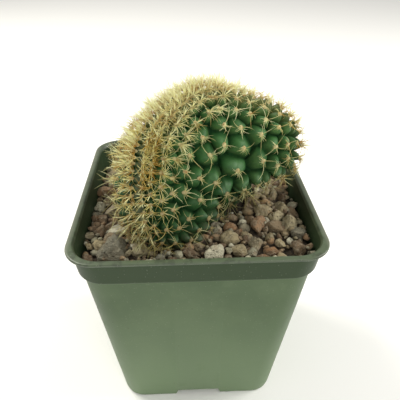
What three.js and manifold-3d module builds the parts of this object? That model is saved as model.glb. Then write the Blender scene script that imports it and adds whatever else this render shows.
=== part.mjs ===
// Potted crested Gymnocalycium quehlianum: a square nursery pot, its filling of mineral grit, and a
// fan-shaped (cristate) cactus with its tubercles and spines. Millimetres, +Z up. The origin is the
// middle of the pot's foot, on the surface it stands on. The cactus's flatter side faces -Y.

import * as THREE from "three";
import { mergeVertices } from "three/addons/utils/BufferGeometryUtils.js";
import Module from "manifold-3d";

const wasm = await Module();
wasm.setup();

// Pot
const RIM_WIDTH = 80;
const POT_HEIGHT = 80;
const FOOT_WIDTH = 59.5;
const FOOT_BEVEL = 1;
const RIM_CORNER = 9.4; // radius of the round corners at the rim
const FOOT_CORNER = 8.2;
const CORNER_STEPS = 6; // facets of one round corner
const LIP_HEIGHT = 1;
const LIP_OUT = 1.2; // how far the lip stands out of the band
const LIP_BEVEL = 0.25;
const BAND_BOTTOM = 69.9; // middle height of the slope where the band stands out of the body
const BAND_SLOPE = 1; // height of that slope
const BAND_OUT = 1;
const WALL = 1.1;
const MOUTH_FLARE = 0.3; // how much further the inside opens at the rim
const FLOOR = 1.4;
const CHANNEL_WIDTH = 16; // drain channel across the foot, at its roof
const CHANNEL_FLARE = 1; // widening of the channel towards the foot, on each side
const CHANNEL_HEIGHT = 3;
const DRAIN_RADIUS = 2.6;
const DRAIN_FACETS = 10;
const DRAIN_REACH = 17; // from the middle to an outer drain hole
const OVERSHOOT = 0.2; // how far a cut passes the face it opens

// Grit
const GAP = 0.3; // clearance between two pieces
const SOIL = 73; // mean height of the filling
const SOIL_SLOPE_X = 0.02;
const SOIL_SLOPE_Y = -0.025;
const STONE_PITCH = 7;
const STONE_SCATTER = 0.25; // of the pitch, each way
const STONE_RADIUS = [3, 4.5];
const STONE_SHAPE = new THREE.Vector3(1, 0.85, 0.78);
const STONE_DENT = [0.82, 1.12]; // radius of a corner of a stone, of the stone's own
const STONE_RISE = 0.1; // height of a stone's middle over the bed, of its radius
const BIG_STONE_RISE = 0.2;
const BIG_STONES = [
  { x: -28.5, y: -27, radius: 6 },
  { x: 5.8, y: -29, radius: 4 },
  { x: 10.6, y: -22.8, radius: 3.6 },
  { x: 22.6, y: -7, radius: 3.4 },
  { x: 32, y: -22, radius: 4 },
];
const CACTUS_ROOM = 1.5; // how far the hole for the cactus is off its smooth skin
const ROOM_COLUMNS = 40;
const ROOM_RINGS = 10; // from the growing edge to a pole

// Cactus: the growing edge from its right end, over the top and down to its left end, then back under
// the body as the buried base
const EDGE = [
  [36.2, 1.5, 93.5],
  [34.8, 4.2, 101.2],
  [29.8, 5.8, 107.3],
  [23, 6.4, 110.5],
  [16, 6, 112.8],
  [8.6, 4.8, 115],
  [1.6, 2.6, 115.6],
  [-4.8, -0.6, 113.8],
  [-9.9, -4.6, 110.8],
  [-13.8, -9, 107.5],
  [-16.4, -13.6, 102.8],
  [-17.8, -18.2, 96.6],
  [-18, -22.2, 89.6],
  [-17, -25.6, 82.6],
  [-14.2, -27, 76],
  [-9.5, -25, 70],
  [-3, -18.5, 66],
  [4, -12, 64],
  [12, -7, 64],
  [18.4, -4.8, 68],
  [22.6, -3, 75],
  [28.4, -1.4, 81.4],
  [33.8, 0, 87],
];
// Points inside the body that the edge faces away from, one for each eighth of its length
const CORE = [
  [12, 2, 91.5],
  [14, 3, 93],
  [4, 0, 94],
  [-4, -0.5, 94],
  [-12, -1, 90],
  [-10, -8, 88],
  [4, -6, 86],
  [14, 0, 90],
];
const HALF_THICKNESS = [9.4, 11.2, 11.8, 11.8, 11.4, 9.6, 8.2, 8.4]; // of the crown, per eighth
const FRONT_POLE = new THREE.Vector3(9.5, -15.5, 87.5); // where the front's ribs run together
const BACK_POLE = new THREE.Vector3(-2, 15, 89);
const CROWN_ANGLE = [0.4, 2.4]; // least and most angle that one side of the crown turns through
const FLANK_BULGE = 1.2; // mean height of the flank over the straight line from pole to crown
const FLANK_SHARE = 0.5; // share of the way from a pole to the edge that is flank, not crown
const ARC = 36; // usual length of the skin from the edge to a pole
const EDGE_STEP = 0.004; // share of the edge's length over which its direction is measured
const WAIST_MIDDLE = { x: 9, y: 4 }; // the body draws in towards this line under its bent-over end
const WAIST_SHARE = { x: 0.28, y: 0.4 }; // how far it draws in
const WAIST_ALONG = [0, 12]; // x over which the waist begins
const WAIST_UP = [77, 90]; // height over which it ends
const COLUMN_STEPS = 160; // samples round the growing edge
const ARC_STEPS = 60; // samples from the edge to a pole

// Rows of areoles on one side: distance from the growing edge, spacing in the row, and the share of
// the facets round each areole that carry a spine
const ROWS = [
  { away: 1.8, spacing: 3.3, spined: 0.26 },
  { away: 5, spacing: 4.1, spined: 0.3 },
  { away: 9, spacing: 5.1, spined: 0.42 },
  { away: 14.2, spacing: 6.1, spined: 0.72 },
  { away: 20.6, spacing: 6.8, spined: 0.8 },
  { away: 27.8, spacing: 7, spined: 0.8 },
];
const POLE_SPINED = 0.8;
const OLD_SPACING = 8.5;
const BURIED_FADE = 4; // height below and above the filling over which the spacing changes
const ROW_SHIFT = 0.25; // how far every other row is set on, of the spacing
const ROW_JITTER = 0.16; // of the spacing
const GROOVE = 0.2; // depth between two tubercles, of their distance
const PIT = 0.33; // depth where three tubercles meet, of their distance
const SHOULDER = 0.12; // rise of a tubercle's shoulder, of its distance to the next
const CHIN = 0.6; // how much more the shoulder rises below the areole
const SHOULDER_OUT = 0.52; // place of the shoulder on the way to the groove
const SHOULDER_FROM = 4.4; // smallest size of a tubercle with a shoulder

// Spines
const SPINE_RADIUS = 0.32;
const SPINE_ROOT = 0.75; // how far out from the areole a spine stands in its facet
const SPINE_CLEAR = 4.2; // least height of a spine's tip over the filling
const SPINE_MARGIN = 0.3; // least distance from a spine's tip to the skin ahead of it
const SPINE_TRIALS = 6;
const CROWN_ROWS = 3; // rows over which the spines change from the crown's to the flank's
const CROWN_SPINE = { lift: 1.05, length: 4.2 }; // lift is the angle over the skin, in radians
const FLANK_SPINE = { lift: 0.62, length: 6 };
const SPINE_SPREAD = { lift: 0.15, length: 1 };
const LIFT_PER_TRIAL = 0.12;

// A repeatable draw between 0 and 1
function chance(a, b, c) {
  const x = Math.sin(a * 12.9898 + b * 78.233 + c * 37.719) * 43758.5453;
  return x - Math.floor(x);
}

function mix(a, b, t) {
  return a + (b - a) * t;
}

function solid(geometry) {
  const bare = geometry.clone();
  bare.deleteAttribute("normal");
  bare.deleteAttribute("uv");
  const merged = mergeVertices(bare, 1e-4);
  const index = merged.index.array;
  const triVerts = [];
  for (let i = 0; i < index.length; i += 3) {
    const [a, b, c] = index.slice(i, i + 3);
    if (a !== b && b !== c && c !== a) triVerts.push(a, b, c);
  }
  return new wasm.Manifold(
    new wasm.Mesh({
      numProp: 3,
      vertProperties: merged.attributes.position.array,
      triVerts: new Uint32Array(triVerts),
    }),
  );
}

function geometryOf(body) {
  const mesh = body.getMesh();
  const geometry = new THREE.BufferGeometry();
  geometry.setAttribute("position", new THREE.BufferAttribute(mesh.vertProperties, 3));
  geometry.setIndex(new THREE.BufferAttribute(mesh.triVerts, 1));
  geometry.computeVertexNormals();
  return geometry;
}

// Joins many bodies pair by pair, so that no join is much larger than its halves
function joined(bodies) {
  let level = bodies;
  while (level.length > 1) {
    const next = [];
    for (let i = 0; i < level.length; i += 2) {
      next.push(i + 1 < level.length ? level[i].add(level[i + 1]) : level[i]);
    }
    level = next;
  }
  return level[0];
}

function largest(body) {
  const pieces = body.decompose();
  return pieces.reduce((a, b) => (b.volume() > a.volume() ? b : a));
}

// Pot

// Step i round a square of half width h with round corners
function squarePoint(i, h) {
  const slope = (RIM_CORNER - FOOT_CORNER) / (RIM_WIDTH - FOOT_WIDTH);
  const radius = Math.min(h, RIM_CORNER - slope * (RIM_WIDTH - 2 * h));
  const corner = Math.floor(i / (CORNER_STEPS + 1)) % 4;
  const step = i % (CORNER_STEPS + 1);
  const angle = ((corner - 1) * Math.PI) / 2 + ((step / CORNER_STEPS) * Math.PI) / 2;
  const middle = (corner * Math.PI) / 2 - Math.PI / 4;
  const reach = (h - radius) * Math.SQRT2;
  return new THREE.Vector2(
    reach * Math.cos(middle) + radius * Math.cos(angle),
    reach * Math.sin(middle) + radius * Math.sin(angle),
  );
}

// A turned profile of [half width, height] pairs, pressed square
function squareTurned(profile) {
  const sides = 4 * (CORNER_STEPS + 1);
  const points = profile.map(([h, z]) => new THREE.Vector2(h, z));
  const geometry = new THREE.LatheGeometry(points, sides);
  const position = geometry.attributes.position;
  for (let i = 0; i <= sides; i++) {
    profile.forEach(([h, z], j) => {
      const p = squarePoint(i % sides, h);
      position.setXYZ(i * profile.length + j, p.x, p.y, z);
    });
  }
  return geometry;
}

// Half width of the tapered body at height z
function bodyHalf(z) {
  const top = RIM_WIDTH / 2 - LIP_OUT - BAND_OUT;
  return mix(FOOT_WIDTH / 2, top, z / POT_HEIGHT);
}

function potOutside() {
  const lip = POT_HEIGHT - LIP_HEIGHT;
  const bandLow = BAND_BOTTOM - BAND_SLOPE / 2;
  const bandHigh = BAND_BOTTOM + BAND_SLOPE / 2;
  return solid(
    squareTurned([
      [0, 0],
      [FOOT_WIDTH / 2 - FOOT_BEVEL, 0],
      [bodyHalf(FOOT_BEVEL), FOOT_BEVEL],
      [bodyHalf(bandLow), bandLow],
      [bodyHalf(bandHigh) + BAND_OUT, bandHigh],
      [bodyHalf(lip) + BAND_OUT, lip],
      [RIM_WIDTH / 2 - LIP_BEVEL, lip],
      [RIM_WIDTH / 2, lip + LIP_HEIGHT / 2],
      [RIM_WIDTH / 2 - LIP_BEVEL, POT_HEIGHT],
      [0, POT_HEIGHT],
    ]),
  );
}

// The room in the pot, held off its wall and floor by the gap
function potInside(gap) {
  const off = WALL + gap;
  const mouth = POT_HEIGHT + OVERSHOOT;
  return solid(
    squareTurned([
      [0, FLOOR + gap],
      [bodyHalf(FLOOR) - off, FLOOR + gap],
      [bodyHalf(BAND_BOTTOM) - off, BAND_BOTTOM],
      [bodyHalf(BAND_BOTTOM) + BAND_OUT - off, BAND_BOTTOM + BAND_SLOPE],
      [bodyHalf(POT_HEIGHT) + BAND_OUT + MOUTH_FLARE - off, mouth],
      [0, mouth],
    ]),
  );
}

// The cross of drain channels under the floor, grown by a margin
function channels(grow) {
  const foot = CHANNEL_WIDTH / 2 + CHANNEL_FLARE + grow;
  const roof = CHANNEL_WIDTH / 2 + grow;
  const outline = new THREE.Shape();
  outline.moveTo(-foot, -OVERSHOOT);
  outline.lineTo(foot, -OVERSHOOT);
  outline.lineTo(foot, 0);
  outline.lineTo(roof, CHANNEL_HEIGHT + grow);
  outline.lineTo(-roof, CHANNEL_HEIGHT + grow);
  outline.lineTo(-foot, 0);
  const along = new THREE.ExtrudeGeometry(outline, { depth: RIM_WIDTH, bevelEnabled: false });
  along.translate(0, 0, -RIM_WIDTH / 2);
  along.rotateX(Math.PI / 2);
  const across = along.clone().rotateZ(Math.PI / 2);
  return solid(along).add(solid(across));
}

// One drain hole in the middle and four round it
function drainHoles() {
  const height = 4 * (CHANNEL_HEIGHT + FLOOR);
  const holes = [];
  for (let i = 0; i <= 4; i++) {
    const hole = new THREE.CylinderGeometry(DRAIN_RADIUS, DRAIN_RADIUS, height, DRAIN_FACETS);
    const reach = i < 4 ? DRAIN_REACH : 0;
    const angle = (i * Math.PI) / 2;
    hole.rotateX(Math.PI / 2);
    hole.translate(reach * Math.cos(angle), reach * Math.sin(angle), 0);
    holes.push(solid(hole));
  }
  return joined(holes);
}

function makePot() {
  const room = potInside(0).subtract(channels(FLOOR));
  return potOutside().subtract(room).subtract(channels(0)).subtract(drainHoles());
}

// Cactus

function closedCurve(points) {
  const vectors = points.map(([x, y, z]) => new THREE.Vector3(x, y, z));
  return new THREE.CatmullRomCurve3(vectors, true, "catmullrom", 0.5);
}

const edgeCurve = closedCurve(EDGE);
const coreCurve = closedCurve(CORE);
const thicknessCurve = closedCurve(HALF_THICKNESS.map((h) => [h, 0, 0]));
const poleAxis = FRONT_POLE.clone().sub(BACK_POLE).normalize();

function wrap(t) {
  return t - Math.floor(t);
}

// The edge's place, the way it faces, the side's own direction and the crown's radius at s
function crownFrame(s, side) {
  const place = edgeCurve.getPoint(wrap(s));
  const along = edgeCurve.getPoint(wrap(s + EDGE_STEP)).sub(edgeCurve.getPoint(wrap(s - EDGE_STEP)));
  along.normalize();
  const facing = place.clone().sub(coreCurve.getPoint(wrap(s)));
  facing.addScaledVector(along, -facing.dot(along)).normalize();
  const sideways = along.clone().cross(facing).normalize();
  sideways.multiplyScalar(side * Math.sign(sideways.dot(poleAxis)));
  return { place, facing, sideways, radius: thicknessCurve.getPoint(wrap(s)).x };
}

// How much a place belongs to the waist, from 0 to 1
function waistShare(p) {
  const { smoothstep } = THREE.MathUtils;
  return smoothstep(p.x, ...WAIST_ALONG) * (1 - smoothstep(p.z, ...WAIST_UP));
}

function waisted(p) {
  const share = waistShare(p);
  p.x = mix(p.x, WAIST_MIDDLE.x, WAIST_SHARE.x * share);
  p.y = mix(p.y, WAIST_MIDDLE.y, WAIST_SHARE.y * share);
  return p;
}

// The smooth skin. side is 1 for the front and -1 for the back; a is 0 at the pole and 1 on the edge.
// The crown is an arc round its own middle, and the flank runs from the arc's end to the pole.
function skinPoint(frame, side, a) {
  const pole = side > 0 ? FRONT_POLE : BACK_POLE;
  const middle = frame.place.clone().addScaledVector(frame.facing, -frame.radius);
  const toPole = pole.clone().sub(middle);
  let turn = Math.atan2(toPole.dot(frame.sideways), toPole.dot(frame.facing));
  if (turn < 0) turn += 2 * Math.PI;
  turn -= Math.acos(Math.min(1, frame.radius / toPole.length()));
  const crownEnd = THREE.MathUtils.clamp(turn, ...CROWN_ANGLE);
  const crownShare = Math.max(0, (a - FLANK_SHARE) / (1 - FLANK_SHARE));
  const angle = crownEnd * (1 - crownShare);
  const out = frame.facing.clone().multiplyScalar(Math.cos(angle));
  out.addScaledVector(frame.sideways, Math.sin(angle));
  const onCrown = middle.addScaledVector(out, frame.radius);
  const u = Math.min(1, a / FLANK_SHARE);
  const bulge = (FLANK_BULGE * 16 * u * (1 - u) ** 2) / 3;
  return waisted(pole.clone().lerp(onCrown, u).addScaledVector(out, bulge));
}

// Lines of skin points from the edge to the pole, one for each sample of the edge
function skinLines(side) {
  const lines = [];
  for (let i = 0; i < COLUMN_STEPS; i++) {
    const frame = crownFrame(i / COLUMN_STEPS, side);
    const line = [];
    for (let j = 0; j <= ARC_STEPS; j++) line.push(skinPoint(frame, side, 1 - j / ARC_STEPS));
    lines.push(line);
  }
  return lines;
}

// The point of a line at a distance from the edge, scaled so that each line ends at the pole
function pointAway(line, away) {
  const steps = line.slice(1).map((p, i) => p.distanceTo(line[i]));
  const total = steps.reduce((a, b) => a + b, 0);
  let left = away * (1 + ((total / ARC - 1) * away) / ARC);
  let i = 0;
  while (i < steps.length - 1 && left > steps[i]) {
    left -= steps[i];
    i += 1;
  }
  const t = Math.min(1, left / steps[i]);
  const down = line[i + 1].clone().sub(line[i]).normalize();
  return { point: line[i].clone().lerp(line[i + 1], t), down };
}

// One row of areoles, evenly set along the row with a small jitter. The old skin of the waist and of
// the buried part has them further apart.
function areoleRow(lines, side, number) {
  const { away, spacing } = ROWS[number];
  const track = lines.map((line) => pointAway(line, away));
  const weight = track.map(({ point }, i) => {
    const length = point.distanceTo(track[(i + 1) % track.length].point);
    const dry = THREE.MathUtils.smoothstep(point.z, SOIL - BURIED_FADE, SOIL + BURIED_FADE);
    return length / mix(OLD_SPACING, spacing, dry * (1 - waistShare(point)));
  });
  const total = weight.reduce((a, b) => a + b, 0);
  const count = Math.round(total);
  const row = [];
  let i = 0;
  let passed = 0;
  for (let k = 0; k < count; k++) {
    const jitter = ROW_JITTER * (2 * chance(k, number, side) - 1);
    const goal = ((k + 0.5 + ROW_SHIFT * (number % 2) + jitter) * total) / count;
    while (passed + weight[i] < goal) {
      passed += weight[i];
      i += 1;
    }
    const t = (goal - passed) / weight[i];
    const here = track[i];
    const next = track[(i + 1) % track.length];
    const point = here.point.clone().lerp(next.point, t);
    const along = next.point.clone().sub(here.point).normalize();
    const down = here.down.clone().lerp(next.down, t);
    down.addScaledVector(along, -down.dot(along)).normalize();
    const normal = along.cross(down).multiplyScalar(side);
    row.push({ point, normal, down, s: (i + t) / track.length, number });
  }
  return row;
}

function poleAreole(side) {
  const point = waisted((side > 0 ? FRONT_POLE : BACK_POLE).clone());
  const normal = poleAxis.clone().multiplyScalar(side);
  const down = new THREE.Vector3(0, 0, -1).addScaledVector(normal, normal.z).normalize();
  return { point, normal, down, s: 0, number: ROWS.length };
}

// All rows in order from the front pole over the edge to the back pole
function areoleRows() {
  const [front, back] = [1, -1].map((side) => {
    const lines = skinLines(side);
    return [...ROWS.map((_, number) => areoleRow(lines, side, number)), [poleAreole(side)]];
  });
  const rows = [...front.reverse(), ...back];
  rows.flat().forEach((areole, id) => {
    areole.id = id;
  });
  return rows;
}

// The triangles between two neighbouring rows, in their order along the edge
function strip(a, b) {
  const nextPlace = (row, i) => {
    if (row.length === 1 || i === row.length) return Infinity;
    return row[(i + 1) % row.length].s + Math.floor((i + 1) / row.length);
  };
  const triangles = [];
  let i = 0;
  let j = 0;
  while (nextPlace(a, i) < Infinity || nextPlace(b, j) < Infinity) {
    const here = a[i % a.length];
    const there = b[j % b.length];
    if (nextPlace(a, i) <= nextPlace(b, j)) {
      i += 1;
      triangles.push([there, a[i % a.length], here]);
    } else {
      j += 1;
      triangles.push([here, there, b[j % b.length]]);
    }
  }
  return triangles;
}

// The size of a tubercle, as the mean distance to its neighbours
function measureReach(triangles) {
  const sum = new Map();
  for (const corners of triangles) {
    corners.forEach((p, k) => {
      const next = corners[(k + 1) % 3];
      const [total, count] = sum.get(p) ?? [0, 0];
      sum.set(p, [total + p.point.distanceTo(next.point), count + 1]);
    });
  }
  for (const [areole, [total, count]] of sum) areole.reach = total / count;
}

// Points that tubercles share are made once and found again by their name
function sharedPoints() {
  const points = [];
  const numbers = new Map();
  const share = (name, make) => {
    if (!numbers.has(name)) {
      numbers.set(name, points.length);
      points.push(make());
    }
    return numbers.get(name);
  };
  return { points, share };
}

// The skin as facets: each areole tops a tubercle, and the tubercles meet in grooves. The six or so
// facets round an areole are kept apart from the rest, because the spines rise from them.
function bodyFacets(rows) {
  const triangles = [];
  for (let i = 0; i + 1 < rows.length; i++) triangles.push(...strip(rows[i], rows[i + 1]));
  measureReach(triangles);
  const { points, share } = sharedPoints();
  const top = (p) => share("top " + p.id, () => p.point.clone());
  const groove = (p, q) =>
    share([p.id, q.id].sort((x, y) => x - y).join(" groove "), () => {
      const normal = p.normal.clone().add(q.normal).normalize();
      const depth = GROOVE * p.point.distanceTo(q.point);
      return p.point.clone().lerp(q.point, 0.5).addScaledVector(normal, -depth);
    });
  const pit = (a, b, c) =>
    share([a.id, b.id, c.id].join(" pit "), () => {
      const normal = a.normal.clone().add(b.normal).add(c.normal).normalize();
      const depth = (PIT * (a.reach + b.reach + c.reach)) / 3;
      const middle = a.point.clone().add(b.point).add(c.point).divideScalar(3);
      return middle.addScaledVector(normal, -depth);
    });
  const shoulder = (p, low) =>
    share(p.id + " shoulder " + low, () => {
      const sideways = points[low].clone().sub(p.point).normalize();
      const rise = SHOULDER * p.reach * (1 + CHIN * sideways.dot(p.down));
      return p.point.clone().lerp(points[low], SHOULDER_OUT).addScaledVector(p.normal, rise);
    });
  const plain = [];
  const tops = [];
  for (const corners of triangles) {
    const deep = pit(...corners);
    corners.forEach((p, k) => {
      let after = groove(p, corners[(k + 1) % 3]);
      let before = groove(p, corners[(k + 2) % 3]);
      plain.push([after, deep, before]);
      if (p.reach > SHOULDER_FROM) {
        const [low, high] = [after, before];
        after = shoulder(p, low);
        before = shoulder(p, high);
        plain.push([after, low, high], [after, high, before]);
      }
      tops.push({ corners: [top(p), after, before], areole: p });
    });
  }
  return { points, plain, tops };
}

function soilHeight(x, y) {
  return SOIL + SOIL_SLOPE_X * x + SOIL_SLOPE_Y * y;
}

// Whether a tip stays over the pot and above the filling
function overPot(tip) {
  const reach = RIM_WIDTH / 2 - LIP_HEIGHT;
  if (Math.abs(tip.x) > reach || Math.abs(tip.y) > reach) return false;
  return tip.z > soilHeight(tip.x, tip.y) + SPINE_CLEAR;
}

// Whether the way from a foot's corner to the tip meets a facet of the skin
function crosses(from, to, facets, own) {
  const length = from.distanceTo(to) + SPINE_MARGIN;
  const ray = new THREE.Ray(from, to.clone().sub(from).normalize());
  const hit = new THREE.Vector3();
  return facets.some(({ a, b, c, corners }) => {
    if (corners === own) return false;
    return ray.intersectTriangle(a, b, c, false, hit) !== null && hit.distanceTo(from) < length;
  });
}

// Whether a spine comes near another one
function touches(root, tip, others) {
  const near = new THREE.Vector3();
  const here = new THREE.Vector3();
  const own = new THREE.Line3(root, tip);
  const samples = 8;
  return others.some((other) => {
    for (let i = 0; i <= samples; i++) {
      own.at(i / samples, here);
      other.closestPointToPoint(here, true, near);
      if (near.distanceTo(here) < 2 * SPINE_RADIUS) return true;
    }
    return false;
  });
}

// A spine's foot: a small copy of its facet near the areole
function spineFoot(facet, points) {
  const corners = facet.corners.map((i) => points[i]);
  const middle = new THREE.Vector3();
  corners.forEach((corner) => middle.addScaledVector(corner, 1 / 3));
  const scale = SPINE_RADIUS / corners[0].distanceTo(middle);
  const root = corners[0].clone().lerp(middle, SPINE_ROOT);
  const foot = corners.map((corner) => {
    return root.clone().addScaledVector(corner.clone().sub(middle), scale);
  });
  return { root, foot };
}

// A spine's tip, drawn again until the spine clears the skin, the other spines and the filling
function spineTip(facet, number, { root, foot }, facets, others) {
  const { areole } = facet;
  const outward = root.clone().sub(areole.point).normalize();
  const crown = Math.max(0, 1 - areole.number / CROWN_ROWS);
  for (let trial = 0; trial < SPINE_TRIALS; trial++) {
    const swing = (what) => 2 * chance(areole.id + 0.37 * number, trial, what) - 1;
    const meanLift = mix(FLANK_SPINE.lift, CROWN_SPINE.lift, crown) + LIFT_PER_TRIAL * trial;
    const lift = meanLift + SPINE_SPREAD.lift * swing(1);
    const meanLength = mix(FLANK_SPINE.length, CROWN_SPINE.length, crown);
    const length = meanLength + SPINE_SPREAD.length * swing(2);
    const direction = outward.clone().multiplyScalar(Math.cos(lift));
    direction.addScaledVector(areole.normal, Math.sin(lift)).normalize();
    const tip = root.clone().addScaledVector(direction, length);
    const blocked = foot.some((corner) => crosses(corner, tip, facets, facet.corners));
    if (overPot(tip) && !blocked && !touches(root, tip, others)) return tip;
  }
  return null;
}

function makeCrest(rows) {
  const { points, plain, tops } = bodyFacets(rows);
  const facets = [...plain, ...tops.map((facet) => facet.corners)].map((corners) => {
    const [a, b, c] = corners.map((i) => points[i]);
    return { a, b, c, corners };
  });
  const index = [...plain];
  const spines = [];
  tops.forEach((facet, number) => {
    const base = spineFoot(facet, points);
    const spined = ROWS[facet.areole.number]?.spined ?? POLE_SPINED;
    const wanted = chance(facet.areole.id, number, 9) < spined;
    const tip = wanted ? spineTip(facet, number, base, facets, spines) : null;
    if (!tip) {
      index.push(facet.corners);
      return;
    }
    spines.push(new THREE.Line3(base.root, tip));
    const first = points.length;
    points.push(...base.foot, tip);
    facet.corners.forEach((corner, k) => {
      const next = facet.corners[(k + 1) % 3];
      const low = first + k;
      const lowNext = first + ((k + 1) % 3);
      index.push([corner, next, lowNext], [corner, lowNext, low], [low, lowNext, first + 3]);
    });
  });
  const geometry = new THREE.BufferGeometry();
  geometry.setFromPoints(points);
  geometry.setIndex(index.flat());
  return solid(geometry);
}

// Grit

// The room that the cactus takes, a little larger than the smooth skin
function cactusRoom() {
  const rings = [];
  for (let j = -ROOM_RINGS; j <= ROOM_RINGS; j++) {
    const side = j <= 0 ? 1 : -1;
    const atPole = Math.abs(j) === ROOM_RINGS;
    const ring = [];
    for (let i = 0; i < ROOM_COLUMNS; i++) {
      const s = i / ROOM_COLUMNS;
      const p = skinPoint(crownFrame(s, side), side, 1 - Math.abs(j) / ROOM_RINGS);
      const out = p.clone().sub(coreCurve.getPoint(s)).normalize();
      if (atPole) out.copy(poleAxis).multiplyScalar(side);
      ring.push(p.addScaledVector(out, CACTUS_ROOM));
    }
    rings.push(ring);
  }
  const index = [];
  for (let j = 0; j + 1 < rings.length; j++) {
    for (let i = 0; i < ROOM_COLUMNS; i++) {
      const a = j * ROOM_COLUMNS + i;
      const b = j * ROOM_COLUMNS + ((i + 1) % ROOM_COLUMNS);
      const c = a + ROOM_COLUMNS;
      const d = b + ROOM_COLUMNS;
      index.push(a, d, b, a, c, d);
    }
  }
  const geometry = new THREE.BufferGeometry();
  geometry.setFromPoints(rings.flat());
  geometry.setIndex(index);
  return solid(geometry);
}

// A stone: a coarse ball, flattened, turned and dented by repeatable draws
function stone(x, y, radius, rise, seed) {
  const geometry = new THREE.IcosahedronGeometry(radius, 0);
  const position = geometry.attributes.position;
  const corner = new THREE.Vector3();
  for (let i = 0; i < position.count; i++) {
    corner.fromBufferAttribute(position, i);
    const [a, b, c] = corner.toArray().map((v) => Math.round((10 * v) / radius));
    corner.multiplyScalar(mix(...STONE_DENT, chance(seed + a, b, c)));
    position.setXYZ(i, corner.x, corner.y, corner.z);
  }
  geometry.rotateX(2 * Math.PI * chance(seed, 2, 2));
  geometry.rotateY(2 * Math.PI * chance(seed, 3, 3));
  geometry.scale(STONE_SHAPE.x, STONE_SHAPE.y, STONE_SHAPE.z);
  geometry.rotateZ(2 * Math.PI * chance(seed, 4, 4));
  geometry.translate(x, y, soilHeight(x, y) + rise * radius);
  return solid(geometry);
}

// The stones on the bed: a scattered grid, left out where one of the big stones lies
function stones() {
  const made = BIG_STONES.map(({ x, y, radius }, i) => stone(x, y, radius, BIG_STONE_RISE, i + 0.5));
  const half = Math.ceil(RIM_WIDTH / 2 / STONE_PITCH);
  for (let i = -half; i <= half; i++) {
    for (let j = -half; j <= half; j++) {
      const seed = i * 31 + j;
      const swing = (what) => STONE_SCATTER * (2 * chance(seed, what, what) - 1);
      const x = (i + 0.5 * (j % 2) + swing(5)) * STONE_PITCH;
      const y = (j + swing(6)) * STONE_PITCH;
      const taken = BIG_STONES.some((big) => Math.hypot(big.x - x, big.y - y) < big.radius);
      const radius = mix(...STONE_RADIUS, chance(seed, 7, 7));
      if (!taken) made.push(stone(x, y, radius, STONE_RISE, seed));
    }
  }
  return joined(made);
}

// The filling below the stones, with its sloping top
function bed() {
  const half = bodyHalf(POT_HEIGHT);
  const geometry = squareTurned([
    [0, 0],
    [half, 0],
    [half, SOIL],
    [0, SOIL],
  ]);
  const position = geometry.attributes.position;
  for (let i = 0; i < position.count; i++) {
    if (position.getZ(i) > 0) position.setZ(i, soilHeight(position.getX(i), position.getY(i)));
  }
  return solid(geometry);
}

function makeGrit() {
  const filling = bed().add(stones()).intersect(potInside(GAP));
  return largest(filling.subtract(channels(FLOOR + GAP)).subtract(cactusRoom()));
}

// Assembly

function piece(name, body, colour, roughness) {
  const material = new THREE.MeshStandardMaterial({ color: colour, roughness, metalness: 0 });
  const mesh = new THREE.Mesh(geometryOf(body), material);
  mesh.name = name;
  return mesh;
}

const plant = new THREE.Group();
plant.add(piece("pot", makePot(), 0x5f7558, 0.5));
plant.add(piece("grit", makeGrit(), 0x8a7565, 0.95));
plant.add(piece("crest", makeCrest(areoleRows()), 0x2f6b45, 0.45));

export default plant;
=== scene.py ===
# %% [markdown]
# # A crested cactus in a square nursery pot
#
# The plant is a crested Gymnocalycium quehlianum. A usual cactus grows from one point at its top.
# A crested one grows from a line instead, so its body becomes a fan that bends over as the line gets
# longer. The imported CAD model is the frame: it gives every size and place, in metres, with +Z up. This
# lesson dresses it in four steps: the pot, the grit, the cactus body and its spines, each as a mesh
# made in code, with a procedural finish.

# %% Tools and the frame
import math

import bmesh
import bpy
import numpy as np
from mathutils import Matrix, Vector, kdtree


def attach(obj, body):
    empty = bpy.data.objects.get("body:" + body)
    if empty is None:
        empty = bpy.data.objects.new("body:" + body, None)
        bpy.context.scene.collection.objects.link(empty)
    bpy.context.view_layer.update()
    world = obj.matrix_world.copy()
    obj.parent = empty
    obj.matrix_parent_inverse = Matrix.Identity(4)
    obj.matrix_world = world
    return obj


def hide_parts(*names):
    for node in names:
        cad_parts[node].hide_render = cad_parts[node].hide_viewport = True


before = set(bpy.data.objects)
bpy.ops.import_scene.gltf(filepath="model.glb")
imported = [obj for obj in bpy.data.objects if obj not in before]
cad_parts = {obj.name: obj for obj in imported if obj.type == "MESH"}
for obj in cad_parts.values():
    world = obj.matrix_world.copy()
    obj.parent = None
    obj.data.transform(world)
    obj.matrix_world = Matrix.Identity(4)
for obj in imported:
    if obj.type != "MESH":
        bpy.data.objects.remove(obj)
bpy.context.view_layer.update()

# %% [markdown]
# ## Small helpers
#
# All shapes are worked out in millimetres with arrays, because a cactus has thousands of spines and a
# loop over each point would be slow. They turn into metres once, where the mesh is made. A repeatable
# draw stands in for chance: the same seed gives the same plant at every run.

# %% Vector helpers
MM = 0.001


def mix(a, b, t):
    return a + (b - a) * t


def smooth(x, low, high):
    t = np.clip((np.asarray(x, float) - low) / (high - low), 0, 1)
    return t * t * (3 - 2 * t)


def dot(a, b):
    return np.sum(a * b, axis=-1)


def length(a):
    return np.sqrt(dot(a, a))


def unit(a):
    return a / np.maximum(length(a), 1e-9)[..., None]


def chance(a, b, c):
    """A repeatable draw from 0 to 1 for three numbers."""
    x = np.sin(np.asarray(a) * 12.9898 + np.asarray(b) * 78.233 + np.asarray(c) * 37.719) * 43758.5453
    return x - np.floor(x)


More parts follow.
